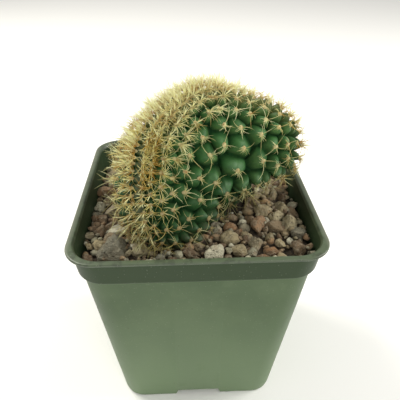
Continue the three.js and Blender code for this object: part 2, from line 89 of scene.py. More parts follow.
# %% From arrays to a mesh
def make_piece(name, points, faces, values=None):
    """A mesh object from points in millimetres, a list of face arrays, and named values per point."""
    mesh = bpy.data.meshes.new(name)
    corners = np.concatenate([np.asarray(f).ravel() for f in faces]).astype(np.int32)
    sizes = np.concatenate([np.full(len(f), np.asarray(f).shape[1]) for f in faces])
    starts = np.concatenate([[0], np.cumsum(sizes)[:-1]]).astype(np.int32)
    mesh.vertices.add(len(points))
    mesh.vertices.foreach_set("co", (np.asarray(points, np.float32) * MM).ravel())
    mesh.loops.add(len(corners))
    mesh.loops.foreach_set("vertex_index", corners)
    mesh.polygons.add(len(starts))
    mesh.polygons.foreach_set("loop_start", starts)
    mesh.polygons.foreach_set("use_smooth", np.ones(len(starts), bool))
    for label, numbers in (values or {}).items():
        layer = mesh.attributes.new(label, "FLOAT", "POINT")
        layer.data.foreach_set("value", np.asarray(numbers, np.float32))
    mesh.update(calc_edges=True)
    mesh.validate()
    piece = bpy.data.objects.new(name, mesh)
    bpy.context.scene.collection.objects.link(piece)
    triangles = int(np.sum(sizes - 2))
    print(f"{name}: {len(points)} points, {triangles} triangles")
    return piece


# %% Faces between rings of points
def ring_quads(count, rings):
    """Four-sided faces between rings of count points each that follow each other."""
    here = np.arange(count)
    after = (here + 1) % count
    low = count * np.arange(rings - 1)[:, None]
    high = low + count
    return np.stack([low + here, low + after, high + after, high + here], axis=-1).reshape(-1, 4)


def ring_faces(count, rings, turned=False):
    """Faces of a closed skin: all its rings, then a tip for the first ring and one for the last."""
    here = np.arange(count)
    after = (here + 1) % count
    last = (rings - 1) * count
    tip = np.full(count, rings * count)
    quads = ring_quads(count, rings)
    fans = [np.column_stack([after, here, tip]), np.column_stack([last + here, last + after, tip + 1])]
    if turned:
        return [quads[:, [0, 3, 2, 1]], *(fan[:, ::-1] for fan in fans)]
    return [quads, *fans]


def copied(faces, copies, count):
    """The same faces for each of many copies of a form that has count points."""
    offset = (np.arange(copies) * count)[:, None, None]
    return [(f[None] + offset).reshape(-1, f.shape[1]) for f in faces]


# %% Dressing a piece
def dress(piece, node, material):
    """Finishes a piece: it rides with the plant, stands for a CAD node and gets its material."""
    piece.data.materials.append(material)
    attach(piece, "root")
    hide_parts(node)


# %% [markdown]
# ## Camera, floor and light
#
# The camera stands where the photograph was taken from: about 15 cm from the plant, looking down by
# about 34 degrees. The floor is plain and pale. The main light is a soft source behind the plant on
# the left, two weaker ones fill in from the front and the right, and an even sky lights the rest.

# %% Camera
LENS_PIXELS = 437.0  # focal length in pixels of a picture 400 pixels wide
PICTURE_WIDTH = 400
CAMERA_PLACE = (-4.24, -133.26, 164.29)
CAMERA_LOOK = (0.0381, 0.8288, -0.5583)
CAMERA_ROLL = math.radians(0.14)

camera_data = bpy.data.cameras.new("camera")
camera_data.sensor_width = 36.0
camera_data.lens = LENS_PIXELS / PICTURE_WIDTH * camera_data.sensor_width
camera_data.clip_start = 0.005
camera_data.clip_end = 20
camera = bpy.data.objects.new("camera", camera_data)
bpy.context.scene.collection.objects.link(camera)
camera.rotation_mode = "QUATERNION"
camera.location = Vector(CAMERA_PLACE) * MM
camera.rotation_quaternion = (
    Vector(CAMERA_LOOK).to_track_quat("-Z", "Y").to_matrix() @ Matrix.Rotation(CAMERA_ROLL, 3, "Z")
).to_quaternion()
bpy.context.scene.camera = camera
bpy.context.scene.view_settings.view_transform = "Standard"


# %% Floor
def plain_material(name, colour, roughness):
    material = bpy.data.materials.new(name)
    material.use_nodes = True
    shader = material.node_tree.nodes["Principled BSDF"]
    shader.inputs["Base Color"].default_value = (*colour, 1)
    shader.inputs["Roughness"].default_value = roughness
    return material


bpy.ops.mesh.primitive_plane_add(size=6)
floor = bpy.context.object
floor.name = "floor"
floor.data.materials.append(plain_material("floor paper", (0.94, 0.94, 0.94), 0.9))


# %% Lights
def soft_light(name, place, size, power, colour):
    data = bpy.data.lights.new(name, "AREA")
    data.shape = "DISK"
    data.size = size
    data.energy = power
    data.color = colour
    light = bpy.data.objects.new(name, data)
    bpy.context.scene.collection.objects.link(light)
    light.location = place
    light.rotation_mode = "QUATERNION"
    light.rotation_quaternion = (Vector((0, 0, 0.08)) - Vector(place)).to_track_quat("-Z", "Y")


soft_light("main light", (-0.5, 0.3, 0.75), 0.4, 6.6, (1.0, 0.97, 0.88))
soft_light("front fill", (0.25, -0.75, 0.5), 0.6, 2.9, (1.0, 0.98, 0.92))
soft_light("right fill", (0.62, 0.05, 0.55), 0.4, 3.7, (1.0, 0.98, 0.92))

sky = bpy.data.worlds.new("sky")
sky.use_nodes = True
sky.node_tree.nodes["Background"].inputs["Color"].default_value = (1.0, 0.99, 0.94, 1)
sky.node_tree.nodes["Background"].inputs["Strength"].default_value = 0.48
bpy.context.scene.world = sky

# %% [markdown]
# ## Shared finishes
#
# Three effects come back on several surfaces: soft blotches, fine specks and a fine grain. Each is a
# node group with named inputs, built once and placed in each material with its own values. A group
# gives out only a mask or a height, and every material keeps its own shader.


# %% Adding and joining nodes
def feed(tree, socket, value):
    """Gives an input a plain value, or a wire where the value is a socket."""
    if isinstance(value, bpy.types.NodeSocket):
        tree.links.new(value, socket)
    else:
        socket.default_value = value


def add_node(tree, kind, inputs=None, **settings):
    """A new node with its settings, and with values or wires for its inputs by name or number."""
    node = tree.nodes.new("ShaderNode" + kind)
    for key, value in settings.items():
        setattr(node, key, value)
    for key, value in (inputs or {}).items():
        feed(tree, node.inputs[key], value)
    return node


def new_group(name, inputs, output):
    """An empty group with number inputs and one number output: the tree and its two ends."""
    group = bpy.data.node_groups.new(name, "ShaderNodeTree")
    number = "NodeSocketFloat"
    for label, value in inputs.items():
        group.interface.new_socket(label, in_out="INPUT", socket_type=number).default_value = value
    group.interface.new_socket(output, in_out="OUTPUT", socket_type=number)
    entry = group.nodes.new("NodeGroupInput")
    return group, entry.outputs, group.nodes.new("NodeGroupOutput").inputs[output]


# %% Blotches
def blotch_group():
    """Soft clouds: a mask that rises from 0 to 1 between two levels of a noise."""
    group, given, mask = new_group("blotches", {"Scale": 100.0, "Low": 0.4, "High": 0.6}, "Mask")
    place = add_node(group, "TexCoord").outputs["Object"]
    cloud = {"Vector": place, "Scale": given["Scale"], "Detail": 4.0, "Roughness": 0.6}
    noise = add_node(group, "TexNoise", cloud).outputs["Fac"]
    levels = {"Value": noise, "From Min": given["Low"], "From Max": given["High"]}
    spread = add_node(group, "MapRange", levels, interpolation_type="SMOOTHSTEP")
    group.links.new(spread.outputs["Result"], mask)
    return group


# %% Specks
def speck_group():
    """Round specks: a mask that is 1 in the middle of a cell, for a share of all cells."""
    group, given, mask = new_group("specks", {"Scale": 1000.0, "Radius": 0.3, "Share": 0.3}, "Mask")
    place = add_node(group, "TexCoord").outputs["Object"]
    cells = add_node(group, "TexVoronoi", {"Vector": place, "Scale": given["Scale"]})
    fade = {"Value": cells.outputs["Distance"], "From Min": 0.0, "From Max": given["Radius"]}
    spot = add_node(group, "MapRange", {**fade, "To Min": 1.0, "To Max": 0.0}).outputs["Result"]
    lot = add_node(group, "SeparateColor", {"Color": cells.outputs["Color"]}).outputs["Red"]
    chosen = add_node(group, "Math", {0: lot, 1: given["Share"]}, operation="LESS_THAN")
    both = add_node(group, "Math", {0: spot, 1: chosen.outputs["Value"]}, operation="MULTIPLY")
    group.links.new(both.outputs["Value"], mask)
    return group


# %% Grain
FINER = 4.5  # how many times finer the second noise is


def grain_group():
    """A fine uneven height, from 0 to 1, made of two noises of different size."""
    group, given, height = new_group("grain", {"Scale": 1000.0, "Fine Share": 0.4}, "Height")
    place = add_node(group, "TexCoord").outputs["Object"]
    finer = add_node(group, "Math", {0: given["Scale"], 1: FINER}, operation="MULTIPLY")
    coarse = {"Vector": place, "Scale": given["Scale"], "Detail": 3.0}
    fine = {"Vector": place, "Scale": finer.outputs["Value"], "Detail": 2.0}
    noises = [add_node(group, "TexNoise", inputs).outputs["Fac"] for inputs in (coarse, fine)]
    parts = {"Factor": given["Fine Share"], "A": noises[0], "B": noises[1]}
    group.links.new(add_node(group, "Mix", parts, data_type="FLOAT").outputs["Result"], height)
    return group


BLOTCHES = blotch_group()
SPECKS = speck_group()
GRAIN = grain_group()
print("shared finishes:", [group.name for group in (BLOTCHES, SPECKS, GRAIN)])


# %% A small workbench for materials
def opaque(colour):
    """A colour as an input takes it; a socket stays as it is."""
    return colour if isinstance(colour, bpy.types.NodeSocket) else (*colour, 1)


class Finish:
    """A material under work: its tree, its shader and short ways to add and join nodes."""

    def __init__(self, name):
        self.material = bpy.data.materials.new(name)
        self.material.use_nodes = True
        self.tree = self.material.node_tree
        self.shader = self.tree.nodes["Principled BSDF"]

    def set(self, **values):
        """Values or sockets for the shader's own inputs, with _ for a space in a name."""
        for key, value in values.items():
            feed(self.tree, self.shader.inputs[key.replace("_", " ")], value)

    def add(self, kind, inputs=None, **settings):
        return add_node(self.tree, kind, inputs, **settings)

    def group(self, group, **values):
        """A shared effect with its own values."""
        inputs = {key.replace("_", " "): value for key, value in values.items()}
        return self.add("Group", inputs, node_tree=group).outputs[0]

    def read(self, name):
        """A value that the mesh carries for each of its points."""
        return self.add("Attribute", attribute_name=name).outputs["Fac"]

    def place(self, axis):
        """Where a point of the surface is along X, Y or Z, in metres on the plant's own axes."""
        place = self.add("TexCoord").outputs["Object"]
        return self.add("SeparateXYZ", {"Vector": place}).outputs[axis]

    def ramp(self, source, stops):
        """Colours along a value from 0 to 1."""
        node = self.add("ValToRGB", {"Fac": source})
        for _ in range(len(stops) - 2):
            node.color_ramp.elements.new(0.5)
        for element, (place, colour) in zip(node.color_ramp.elements, stops):
            element.position = place
            element.color = (*colour, 1)
        return node.outputs["Color"]

    def blend(self, factor, a, b):
        """Mixes two colours by a mask; a colour is a socket or three numbers."""
        return self.add("Mix", {0: factor, 6: opaque(a), 7: opaque(b)}, data_type="RGBA").outputs[2]

    def coats(self, colour, layers):
        """Lays colours over a first one.

        A layer is a value, two levels of it, how much it covers at each of the two, and its colour.
        """
        for value, low, high, at_low, at_high, tint in layers:
            colour = self.blend(self.ranged(value, low, high, at_low, at_high), colour, tint)
        return colour

    def sum(self, *parts):
        """A weighted sum of value sockets, given as pairs of a socket and its weight."""
        total = 0.0
        for source, weight in parts:
            node = self.add("Math", {0: source, 1: weight, 2: total}, operation="MULTIPLY_ADD")
            total = node.outputs["Value"]
        return total

    def ranged(self, source, low, high, to_low, to_high):
        """Turns the span from low to high of a value into another span."""
        span = {"From Min": low, "From Max": high, "To Min": to_low, "To Max": to_high}
        return self.add("MapRange", {"Value": source, **span}).outputs["Result"]

    def bump(self, height, depth, strength):
        """Relief that is too fine for the mesh; its depth is in millimetres."""
        inputs = {"Height": height, "Strength": strength, "Distance": depth * MM}
        self.set(Normal=self.add("Bump", inputs).outputs["Normal"])


# %% [markdown]
# ## The pot
#
# The pot is one thin plastic moulding. It could be a box with bevels, but its round corners change
# from foot to rim, so it is swept instead: one profile of half widths and heights goes round a square
# with round corners, as on a lathe with a square track. The drain channels and holes are then cut.

# %% Pot sizes
RIM = 80.0
HEIGHT = 80.0
FOOT = 59.5
RIM_CORNER = 9.4
FOOT_CORNER = 8.2
LIP_HEIGHT = 1.0
LIP_OUT = 1.2
BAND_BOTTOM = 69.9
BAND_OUT = 1.0
WALL = 1.1
FLOOR = 1.4
CHANNEL_WIDTH = 16.0
CHANNEL_HEIGHT = 3.0
DRAIN_RADIUS = 2.6
DRAIN_REACH = 17.0
CORNER_STEPS = 18
SIDE_STEPS = 20
TRACK_STEPS = 4 * (CORNER_STEPS + SIDE_STEPS)
PLASTIC_ROUNDING = 0.42  # how far a corner of the moulding's profile is rounded, outside and inside
ROOM_ROUNDING = 0.6


def body_half(z):
    """Half width of the tapered wall at a height."""
    return mix(FOOT / 2, RIM / 2 - LIP_OUT - BAND_OUT, z / HEIGHT)


# %% The square track
def square_track(half):
    """Points once round a square with round corners, for one half width."""
    corner = FOOT_CORNER + (RIM_CORNER - FOOT_CORNER) * (2 * half - FOOT) / (RIM - FOOT)
    radius = min(corner, half)
    flat = half - radius
    side = [(half, t) for t in np.linspace(-flat, flat, SIDE_STEPS, endpoint=False)]
    bends = np.linspace(0, math.pi / 2, CORNER_STEPS, endpoint=False)
    arc = [(flat + radius * math.cos(a), flat + radius * math.sin(a)) for a in bends]
    quarter = np.array(side + arc)
    turns = [(math.cos(k * math.pi / 2), math.sin(k * math.pi / 2)) for k in range(4)]
    return np.concatenate([quarter @ np.array([(c, s), (-s, c)]) for c, s in turns])


def swept(name, profile):
    """A closed piece: a profile of half widths and heights, from axis to axis, goes round the track."""
    rings = [np.column_stack([square_track(half), np.full(TRACK_STEPS, z)]) for half, z in profile]
    tips = [[0, 0, profile[0][1]], [0, 0, profile[-1][1]]]
    return make_piece(name, np.concatenate([*rings, tips]), ring_faces(TRACK_STEPS, len(rings)))


def rounded(corners, radius, steps=4):
    """Rounds the inner corners of a profile with short arcs."""
    made = [corners[0]]
    for before, here, after in zip(corners, corners[1:], corners[2:]):
        before, here, after = (np.array(p, float) for p in (before, here, after))
        reach = min(radius, 0.45 * length(here - before), 0.45 * length(after - here))
        start = here + unit(before - here) * reach
        end = here + unit(after - here) * reach
        for t in np.linspace(0, 1, steps + 1):
            made.append(tuple((1 - t) ** 2 * start + 2 * t * (1 - t) * here + t**2 * end))
    return [*made, corners[-1]]


# %% Outside, room and cutters of the pot
def pot_outside():
    lip = HEIGHT - LIP_HEIGHT
    corners = [
        (FOOT / 2 - 6, 0),
        (FOOT / 2 - 0.1, 0),
        (body_half(1.2), 1.2),
        (body_half(BAND_BOTTOM - 0.5), BAND_BOTTOM - 0.5),
        (body_half(BAND_BOTTOM) + BAND_OUT, BAND_BOTTOM + 0.5),
        (body_half(lip) + BAND_OUT, lip),
        (RIM / 2, lip),
        (RIM / 2, HEIGHT),
        (RIM / 2 - 6, HEIGHT),
    ]
    return swept("pot_moulding", rounded(corners, PLASTIC_ROUNDING))


def pot_room():
    top = body_half(HEIGHT) + BAND_OUT - WALL + 0.3
    corners = [
        (FOOT / 2 - 8, FLOOR),
        (body_half(FLOOR) - WALL, FLOOR),
        (body_half(BAND_BOTTOM) - WALL, BAND_BOTTOM),
        (body_half(BAND_BOTTOM) + BAND_OUT - WALL, BAND_BOTTOM + 1),
        (top - 0.1, HEIGHT - 0.5),
        (top + 0.6, HEIGHT + 0.3),
        (top - 6, HEIGHT + 0.3),
    ]
    return swept("pot_room", rounded(corners, ROOM_ROUNDING))


def channel_box(name, grow, turn):
    foot = CHANNEL_WIDTH / 2 + 1 + grow
    roof = CHANNEL_WIDTH / 2 + grow
    high = CHANNEL_HEIGHT + grow
    outline = [(-foot, -1), (foot, -1), (foot, 0), (roof, high), (-roof, high), (-foot, 0)]
    ends = np.array([[(side * RIM / 2, x, z) for x, z in outline] for side in (-1, 1)])
    if turn:
        ends = ends[..., [1, 0, 2]] * np.array([-1, 1, 1])
    count = len(outline)
    here = np.arange(count)
    after = (here + 1) % count
    walls = np.column_stack([here, after, after + count, here + count])
    caps = [here[None, ::-1], (here + count)[None, :]]
    return make_piece(name, ends.reshape(-1, 3), [walls, *caps])


def drain_pin(name, x, y):
    bpy.ops.mesh.primitive_cylinder_add(
        vertices=40, radius=DRAIN_RADIUS * MM, depth=18 * MM, location=(x * MM, y * MM, 0)
    )
    pin = bpy.context.object
    pin.name = name
    return pin


# %% Cutting one mesh out of another
def bake(body):
    """Makes an object's modifiers part of its mesh."""
    made = bpy.data.meshes.new_from_object(body.evaluated_get(bpy.context.evaluated_depsgraph_get()))
    body.modifiers.clear()
    body.data = made


def cut(body, cutter):
    """Cuts one mesh out of another for good, and removes the cutter."""
    step = body.modifiers.new("cut", "BOOLEAN")
    step.operation = "DIFFERENCE"
    step.solver = "EXACT"
    step.object = cutter
    bake(body)
    bpy.data.objects.remove(cutter)


# %% The pot itself
def make_pot():
    pot = pot_outside()
    room = pot_room()
    for turn in (0, 1):
        cut(room, channel_box("floor_over_channel", FLOOR, turn))
    cut(pot, room)
    for turn in (0, 1):
        cut(pot, channel_box("channel", 0, turn))
    cut(pot, drain_pin("middle_drain", 0, 0))
    for k in range(4):
        angle = k * math.pi / 2
        cut(pot, drain_pin("drain", DRAIN_REACH * math.cos(angle), DRAIN_REACH * math.sin(angle)))
    soften = pot.modifiers.new("worn edges", "BEVEL")
    soften.width = 0.18 * MM
    soften.segments = 2
    soften.limit_method = "ANGLE"
    soften.angle_limit = math.radians(42)
    bake(pot)
    for polygon in pot.data.polygons:
        polygon.use_smooth = True
    pot.data.set_sharp_from_angle(angle=math.radians(38))
    print("pot faces:", len(pot.data.polygons))
    return pot


# %% [markdown]
# ### Plastic
#
# The pot is matt olive-green polypropylene. It has faint clouds where the colour isn't even, a paler
# tone towards its foot that is painted light from below, a band darkened by painted shade, and a lip
# that is scuffed and has a painted highlight along its two sides. Pale dust and dark specks of soil lie
# on it. A base colour is mixed from these, and the same masks move the roughness, so that dust is
# duller than clean plastic.


# %% Pot finish
def lip_wear_and_highlight(f):
    """The lip's colour: dark with scuffs, and a painted highlight that makes its two sides pale."""
    scuffs = f.group(BLOTCHES, Scale=330.0, Low=0.50, High=0.60)
    colour = f.blend(f.sum((scuffs, 0.7)), (0.078, 0.104, 0.060), (0.040, 0.050, 0.032))
    side = f.add("Math", {0: f.place("X")}, operation="ABSOLUTE").outputs["Value"]
    # Painted highlight: the lip is pale along its two sides, as if lit there.
    return f.blend(f.ranged(side, 0.0384, 0.0396, 0.0, 0.75), colour, (0.200, 0.215, 0.165))


def pot_finish():
    f = Finish("green nursery plastic")
    clouds = f.group(BLOTCHES, Scale=38.0, Low=0.35, High=0.68)
    smears = f.group(BLOTCHES, Scale=170.0, Low=0.52, High=0.75)
    dust = f.group(SPECKS, Scale=1500.0, Radius=0.32, Share=0.16)
    soil = f.group(SPECKS, Scale=420.0, Radius=0.13, Share=0.1)
    height = f.place("Z")
    lip = f.ranged(height, 0.0788, 0.0792, 0.0, 0.8)
    colour = f.coats(f.blend(clouds, (0.072, 0.109, 0.057), (0.094, 0.135, 0.073)), [
        (height, 0.002, 0.056, 0.95, 0.0, (0.164, 0.230, 0.132)),  # painted light from below: paler towards the foot
        (smears, 0, 1, 0, 0.13, (0.20, 0.250, 0.160)),
        (height, 0.0696, 0.0705, 0.0, 0.9, (0.026, 0.044, 0.020)),  # the band, darkened as painted shade
        (lip, 0, 1, 0, 1, lip_wear_and_highlight(f)),
        (dust, 0, 1, 0, 0.35, (0.35, 0.37, 0.3)),
        (soil, 0, 1, 0, 0.8, (0.05, 0.045, 0.03)),
    ])
    rough = f.sum((f.ranged(smears, 0, 1, 0.38, 0.52), 1.0), (dust, 0.2), (clouds, 0.08), (lip, -0.12))
    f.set(Base_Color=colour, Roughness=rough, Specular_IOR_Level=f.ranged(lip, 0, 1, 0.14, 0.6))
    f.bump(f.group(GRAIN, Scale=700.0, Fine_Share=0.5), 0.03, 0.5)
    return f.material


pot = make_pot()
dress(pot, "pot", pot_finish())

# %% [markdown]
# ## The grit
#
# The pot is filled with a coarse mineral mix: lava, pumice, clay and quartz, from crumbs to stones of
# 10 mm. One displaced lump would look like dough, so the stones are made one by one. A stone is a ball
# cut by random planes, which gives flat broken faces with soft edges. The big ones lie where the
# photograph shows them, and the rest are dropped in by size, large first, each to rest on what lies
# below it. A bed of crumbs closes the gaps between them.

# %% Grit sizes
SOIL = 73.0
SOIL_SLOPE = (0.02, -0.025)
GAP = 0.3
MOUTH_HALF = 37.2  # half width of the pot's room at the height of the stones
MOUTH_CORNER = 8.6
STONE_SINK = 0.15  # how far a stone sinks into the bed, of its radius
PILE_HEIGHT = 2.6  # how high over the bed the middle of a stone may lie on others
NEAR = 8.5  # two stones further apart than this don't touch
# Place across and along, radius and colour of the stones that stand out
KNOWN_STONES = [
    (-27.0, -28.0, 5.0, "grey"),
    (5.5, -29.6, 3.5, "white"),
    (10.8, -23.6, 3.0, "tan"),
    (23.3, -8.8, 3.2, "tan"),
    (20.7, -16.3, 2.8, "rusty"),
    (33.0, -22.2, 2.9, "grey"),
    (13.1, -29.2, 2.5, "tan"),
    (26.2, -26.1, 2.3, "tan"),
    (31.5, -29.8, 3.1, "brown"),
    (-32.2, -15.7, 2.7, "brown"),
    (-32.0, -22.6, 2.4, "tan"),
    (30.5, -6.6, 2.6, "tan"),
    (-33.4, 22.6, 2.8, "tan"),
    (-33.2, 9.5, 3.0, "rusty"),
    (-11.8, -31.0, 1.9, "grey"),
    (-2.5, -29.2, 2.3, "brown"),
]
STONE_TINTS = {"brown": 0.08, "tan": 0.27, "rusty": 0.38, "grey": 0.74, "white": 0.95}
# How many tries, least and most radius, and how close two stones may come, of the sum of their radii
STONE_SIZES = [(2500, 1.9, 3.2, 0.84), (2600, 1.2, 1.9, 0.75), (2000, 0.6, 1.1, 0.68)]


def soil_height(x, y):
    return SOIL + SOIL_SLOPE[0] * x + SOIL_SLOPE[1] * y


# %% The cactus's place in the grit
# A rough outline of the body where it goes into the grit: ellipses as middle, half sizes and turn
NECK = [((-8.0, -17.5), (12.3, 9.0), 0.45), ((5.5, -2.5), (12.8, 7.0), 0.3)]


def in_neck(x, y, margin):
    """Whether a place lies in the cactus, or nearer to it than the margin."""
    for (cx, cy), (a, b), turn in NECK:
        dx, dy = x - cx, y - cy
        u = dx * math.cos(turn) + dy * math.sin(turn)
        v = -dx * math.sin(turn) + dy * math.cos(turn)
        if (u / (a + margin)) ** 2 + (v / (b + margin)) ** 2 < 1:
            return True
    return False


# %% Dropping the stones
def drop_stones():
    """Place, radius and tint of every stone, largest first."""
    rng = np.random.default_rng(7)
    placed = []

    def rest(x, y, radius, near):
        base = soil_height(x, y) - STONE_SINK * radius
        for px, py, pz, pr, _ in near:
            gap = math.hypot(px - x, py - y)
            reach = 0.8 * (radius + pr)
            if gap < reach:
                base = max(base, pz + 0.55 * math.sqrt(reach**2 - gap**2) - 0.1 * pr)
        return min(base, soil_height(x, y) + PILE_HEIGHT)

    for x, y, radius, tint in KNOWN_STONES:
        placed.append((x, y, soil_height(x, y) + 0.25 * radius, radius, STONE_TINTS[tint]))
    for tries, least, most, closeness in STONE_SIZES:
        for _ in range(tries):
            x, y = rng.uniform(-MOUTH_HALF, MOUTH_HALF, 2)
            radius = rng.uniform(least, most)
            tint = rng.uniform(0, 1) ** 1.25
            outer = [max(0, abs(place) - MOUTH_HALF + MOUTH_CORNER) for place in (x, y)]
            if math.hypot(*outer) > MOUTH_CORNER - radius or in_neck(x, y, 0.35 * radius):
                continue
            near = [s for s in placed if abs(s[0] - x) < NEAR and abs(s[1] - y) < NEAR]
            if any(math.hypot(s[0] - x, s[1] - y) < closeness * (s[3] + radius) for s in near):
                continue
            placed.append((x, y, rest(x, y, radius, near), radius, tint))
    return np.array(placed)


# %% One stone's shape
STONE_PLANES = 11
STONE_DEPTHS = (0.48, 0.88)  # how far its faces are from its middle, of its radius
EDGE_POWER = 30.0  # the higher, the sharper are the edges between two broken faces
STONE_RIPPLES = ((2.6, 0.08), (5.5, 0.055), (11.0, 0.04))  # how fine and how high its unevenness is
# The big stone's faces: the way each one faces and how far it is from the middle
BIG_STONE_FACES = np.array([
    (-0.75, 0.05, 0.66), (0.90, -0.20, 0.40), (-0.10, -0.80, 0.60), (0.10, 0.85, 0.50),
    (0.00, 0.00, -1.00), (-0.95, -0.20, -0.20), (0.90, 0.30, -0.30), (0.00, -0.90, -0.40),
])
BIG_STONE_DEPTHS = np.array([0.56, 0.64, 0.38, 0.86, 0.60, 0.98, 0.88, 0.60])


def ball(divisions):
    shape = bmesh.new()
    bmesh.ops.create_icosphere(shape, subdivisions=divisions, radius=1.0)
    points = np.array([v.co[:] for v in shape.verts])
    faces = np.array([[v.index for v in f.verts] for f in shape.faces])
    shape.free()
    return unit(points), faces


def ripples(points, rng, fineness, count):
    """A smooth unevenness: the mean of some waves that run in random directions."""
    waves = unit(rng.normal(size=(count, points.shape[1]))) * fineness
    return np.sin(points @ waves.T + rng.uniform(0, 6.28, count)).mean(axis=1)


def stone_points(directions, radius, seed, faces=None, depths=None):
    """A ball cut by planes, random ones unless they are given, with blunt edges and small pits."""
    rng = np.random.default_rng(seed)
    planes = unit(rng.normal(size=(STONE_PLANES, 3)))
    depth = rng.uniform(*STONE_DEPTHS, STONE_PLANES)
    if faces is not None:
        planes, depth = unit(faces), depths
    facing = np.maximum(directions @ planes.T, 1e-3)
    reach = np.sum((depth / facing) ** -EDGE_POWER, axis=1) ** (-1 / EDGE_POWER)
    reach = 1.12 * np.minimum(reach, 1.05 if faces is None else 1.6)
    for fineness, weight in STONE_RIPPLES:
        reach = reach * (1 + weight * ripples(directions, rng, fineness, 6) * 2.4)
    reach = reach * rng.uniform(0.985, 1.015, len(reach))
    if faces is not None:
        return directions * reach[:, None] * radius
    squash = np.array([1.0, rng.uniform(0.72, 0.95), rng.uniform(0.62, 0.85)])
    points = directions * reach[:, None] * squash * radius * 1.08
    tilt = rng.normal(0, 0.35, 2)
    turn = Matrix.Rotation(rng.uniform(0, 6.28), 3, "Z") @ Matrix.Rotation(tilt[0], 3, "X")
    turn = np.array(turn @ Matrix.Rotation(tilt[1], 3, "Y"))
    return points @ turn.T


# %% All stones of one size in one mesh
def stone_piece(name, stones, divisions, first_seed):
    directions, faces = ball(divisions)
    count = len(directions)
    points = []
    for k, (x, y, z, radius, _) in enumerate(stones):
        cut_faces = (BIG_STONE_FACES, BIG_STONE_DEPTHS) if radius == KNOWN_STONES[0][2] else ()
        points.append(stone_points(directions, radius, first_seed + k, *cut_faces) + (x, y, z))
    faces = copied([faces], len(stones), count)
    return make_piece(name, np.concatenate(points), faces, {"tint": np.repeat(stones[:, 4], count)})


# %% The bed under the stones
BED_RINGS = 90
UNDERSIDE_EVERY = 6  # the underside has every sixth of the top's rings
BED_DEPTH = 0.9  # how far the crumbs lie under the stones' middle height
CRUMB_RIPPLES = ((1.1, 0.5), (2.3, 0.4), (4.6, 0.25))
CRUMB_HEIGHT = 1.4
CRUMB_DUST = 0.12


def bed_piece():
    """The filling from the floor up, with a crumbly top, on rings of the square track."""
    rng = np.random.default_rng(11)
    spans = np.linspace(0, 1, BED_RINGS + 1)[1:]
    wall = square_track(body_half(BAND_BOTTOM) - WALL - GAP)
    top = np.concatenate([wall * span for span in spans])
    crumbs = sum(weight * ripples(top, rng, fineness, 9) for fineness, weight in CRUMB_RIPPLES)
    dust = rng.uniform(-CRUMB_DUST, CRUMB_DUST, len(top))
    top_height = soil_height(*top.T) - BED_DEPTH + CRUMB_HEIGHT * crumbs + dust
    foot = square_track(body_half(FLOOR) - WALL - GAP)
    under = np.concatenate([foot * span for span in spans[::-1][::UNDERSIDE_EVERY]])
    clear = CHANNEL_WIDTH / 2 + FLOOR + GAP
    over_channel = (1 - smooth(abs(under), clear, clear + 1.0)).max(axis=1)
    channel_top = FLOOR + GAP + CHANNEL_HEIGHT + 0.3
    under_height = mix(FLOOR + GAP, channel_top, over_channel)
    points = [
        np.column_stack([top, top_height]),
        np.column_stack([under, under_height]),
        [[0, 0, soil_height(0, 0) - BED_DEPTH], [0, 0, channel_top]],
    ]
    rings = (len(top) + len(under)) // TRACK_STEPS
    return make_piece("grit_bed", np.concatenate(points), ring_faces(TRACK_STEPS, rings, turned=True))


# %% [markdown]
# ### Stone and crumb
#
# Each stone has one tint, read from the mesh, and a ramp turns it into the colours of the mix: brown
# and tan lava, rusty clay, grey pumice, a little white quartz. Clouds, rust and pale dust lie over it,
# pores are dark specks, and a grain with pits in it breaks the flat faces.


# %% Stone finish
STONE_COLOURS = [
    (0.0, (0.110, 0.072, 0.042)),
    (0.14, (0.185, 0.128, 0.078)),
    (0.27, (0.330, 0.275, 0.160)),
    (0.38, (0.275, 0.168, 0.092)),
    (0.5, (0.240, 0.208, 0.140)),
    (0.62, (0.420, 0.365, 0.225)),
    (0.74, (0.178, 0.172, 0.130)),
    (0.86, (0.400, 0.385, 0.265)),
    (1.0, (0.640, 0.610, 0.470)),
]


def stone_finish():
    f = Finish("mineral grit")
    clouds = f.group(BLOTCHES, Scale=260.0, Low=0.35, High=0.65)
    pores = f.group(SPECKS, Scale=1100.0, Radius=0.42, Share=0.3)
    dust = f.group(BLOTCHES, Scale=620.0, Low=0.48, High=0.62)
    rust = f.group(BLOTCHES, Scale=90.0, Low=0.58, High=0.70)
    colour = f.coats(f.ramp(f.read("tint"), STONE_COLOURS), [
        (clouds, 0, 1, 0.0, 0.35, (0.170, 0.130, 0.080)),
        (rust, 0, 1, 0.0, 0.6, (0.330, 0.170, 0.075)),
        (dust, 0, 1, 0.0, 0.3, (0.400, 0.365, 0.270)),
        (pores, 0, 1, 0.0, 0.7, (0.050, 0.038, 0.025)),
    ])
    f.set(Base_Color=colour, Roughness=f.ranged(clouds, 0, 1, 0.8, 0.95), Specular_IOR_Level=0.3)
    rough = f.group(GRAIN, Scale=480.0, Fine_Share=0.5)
    f.bump(f.sum((rough, 1.0), (pores, -0.5), (dust, 0.25)), 0.9, 1.0)
    return f.material


def crumb_finish():
    f = Finish("fine crumbs")
    clouds = f.group(BLOTCHES, Scale=600.0, Low=0.35, High=0.65)
    grains = f.group(SPECKS, Scale=1300.0, Radius=0.5, Share=0.5)
    # The crumbs are very dark: partly their own tone, partly painted shade in the gaps between the
    # stones.
    colour = f.blend(clouds, (0.022, 0.016, 0.010), (0.075, 0.054, 0.034))
    colour = f.coats(colour, [(grains, 0, 1, 0.0, 0.5, (0.20, 0.16, 0.10))])
    f.set(Base_Color=colour, Roughness=f.ranged(clouds, 0, 1, 0.88, 1.0))
    f.bump(f.sum((grains, 1.0), (f.group(GRAIN, Scale=1500.0), 0.6)), 0.5, 0.9)
    return f.material


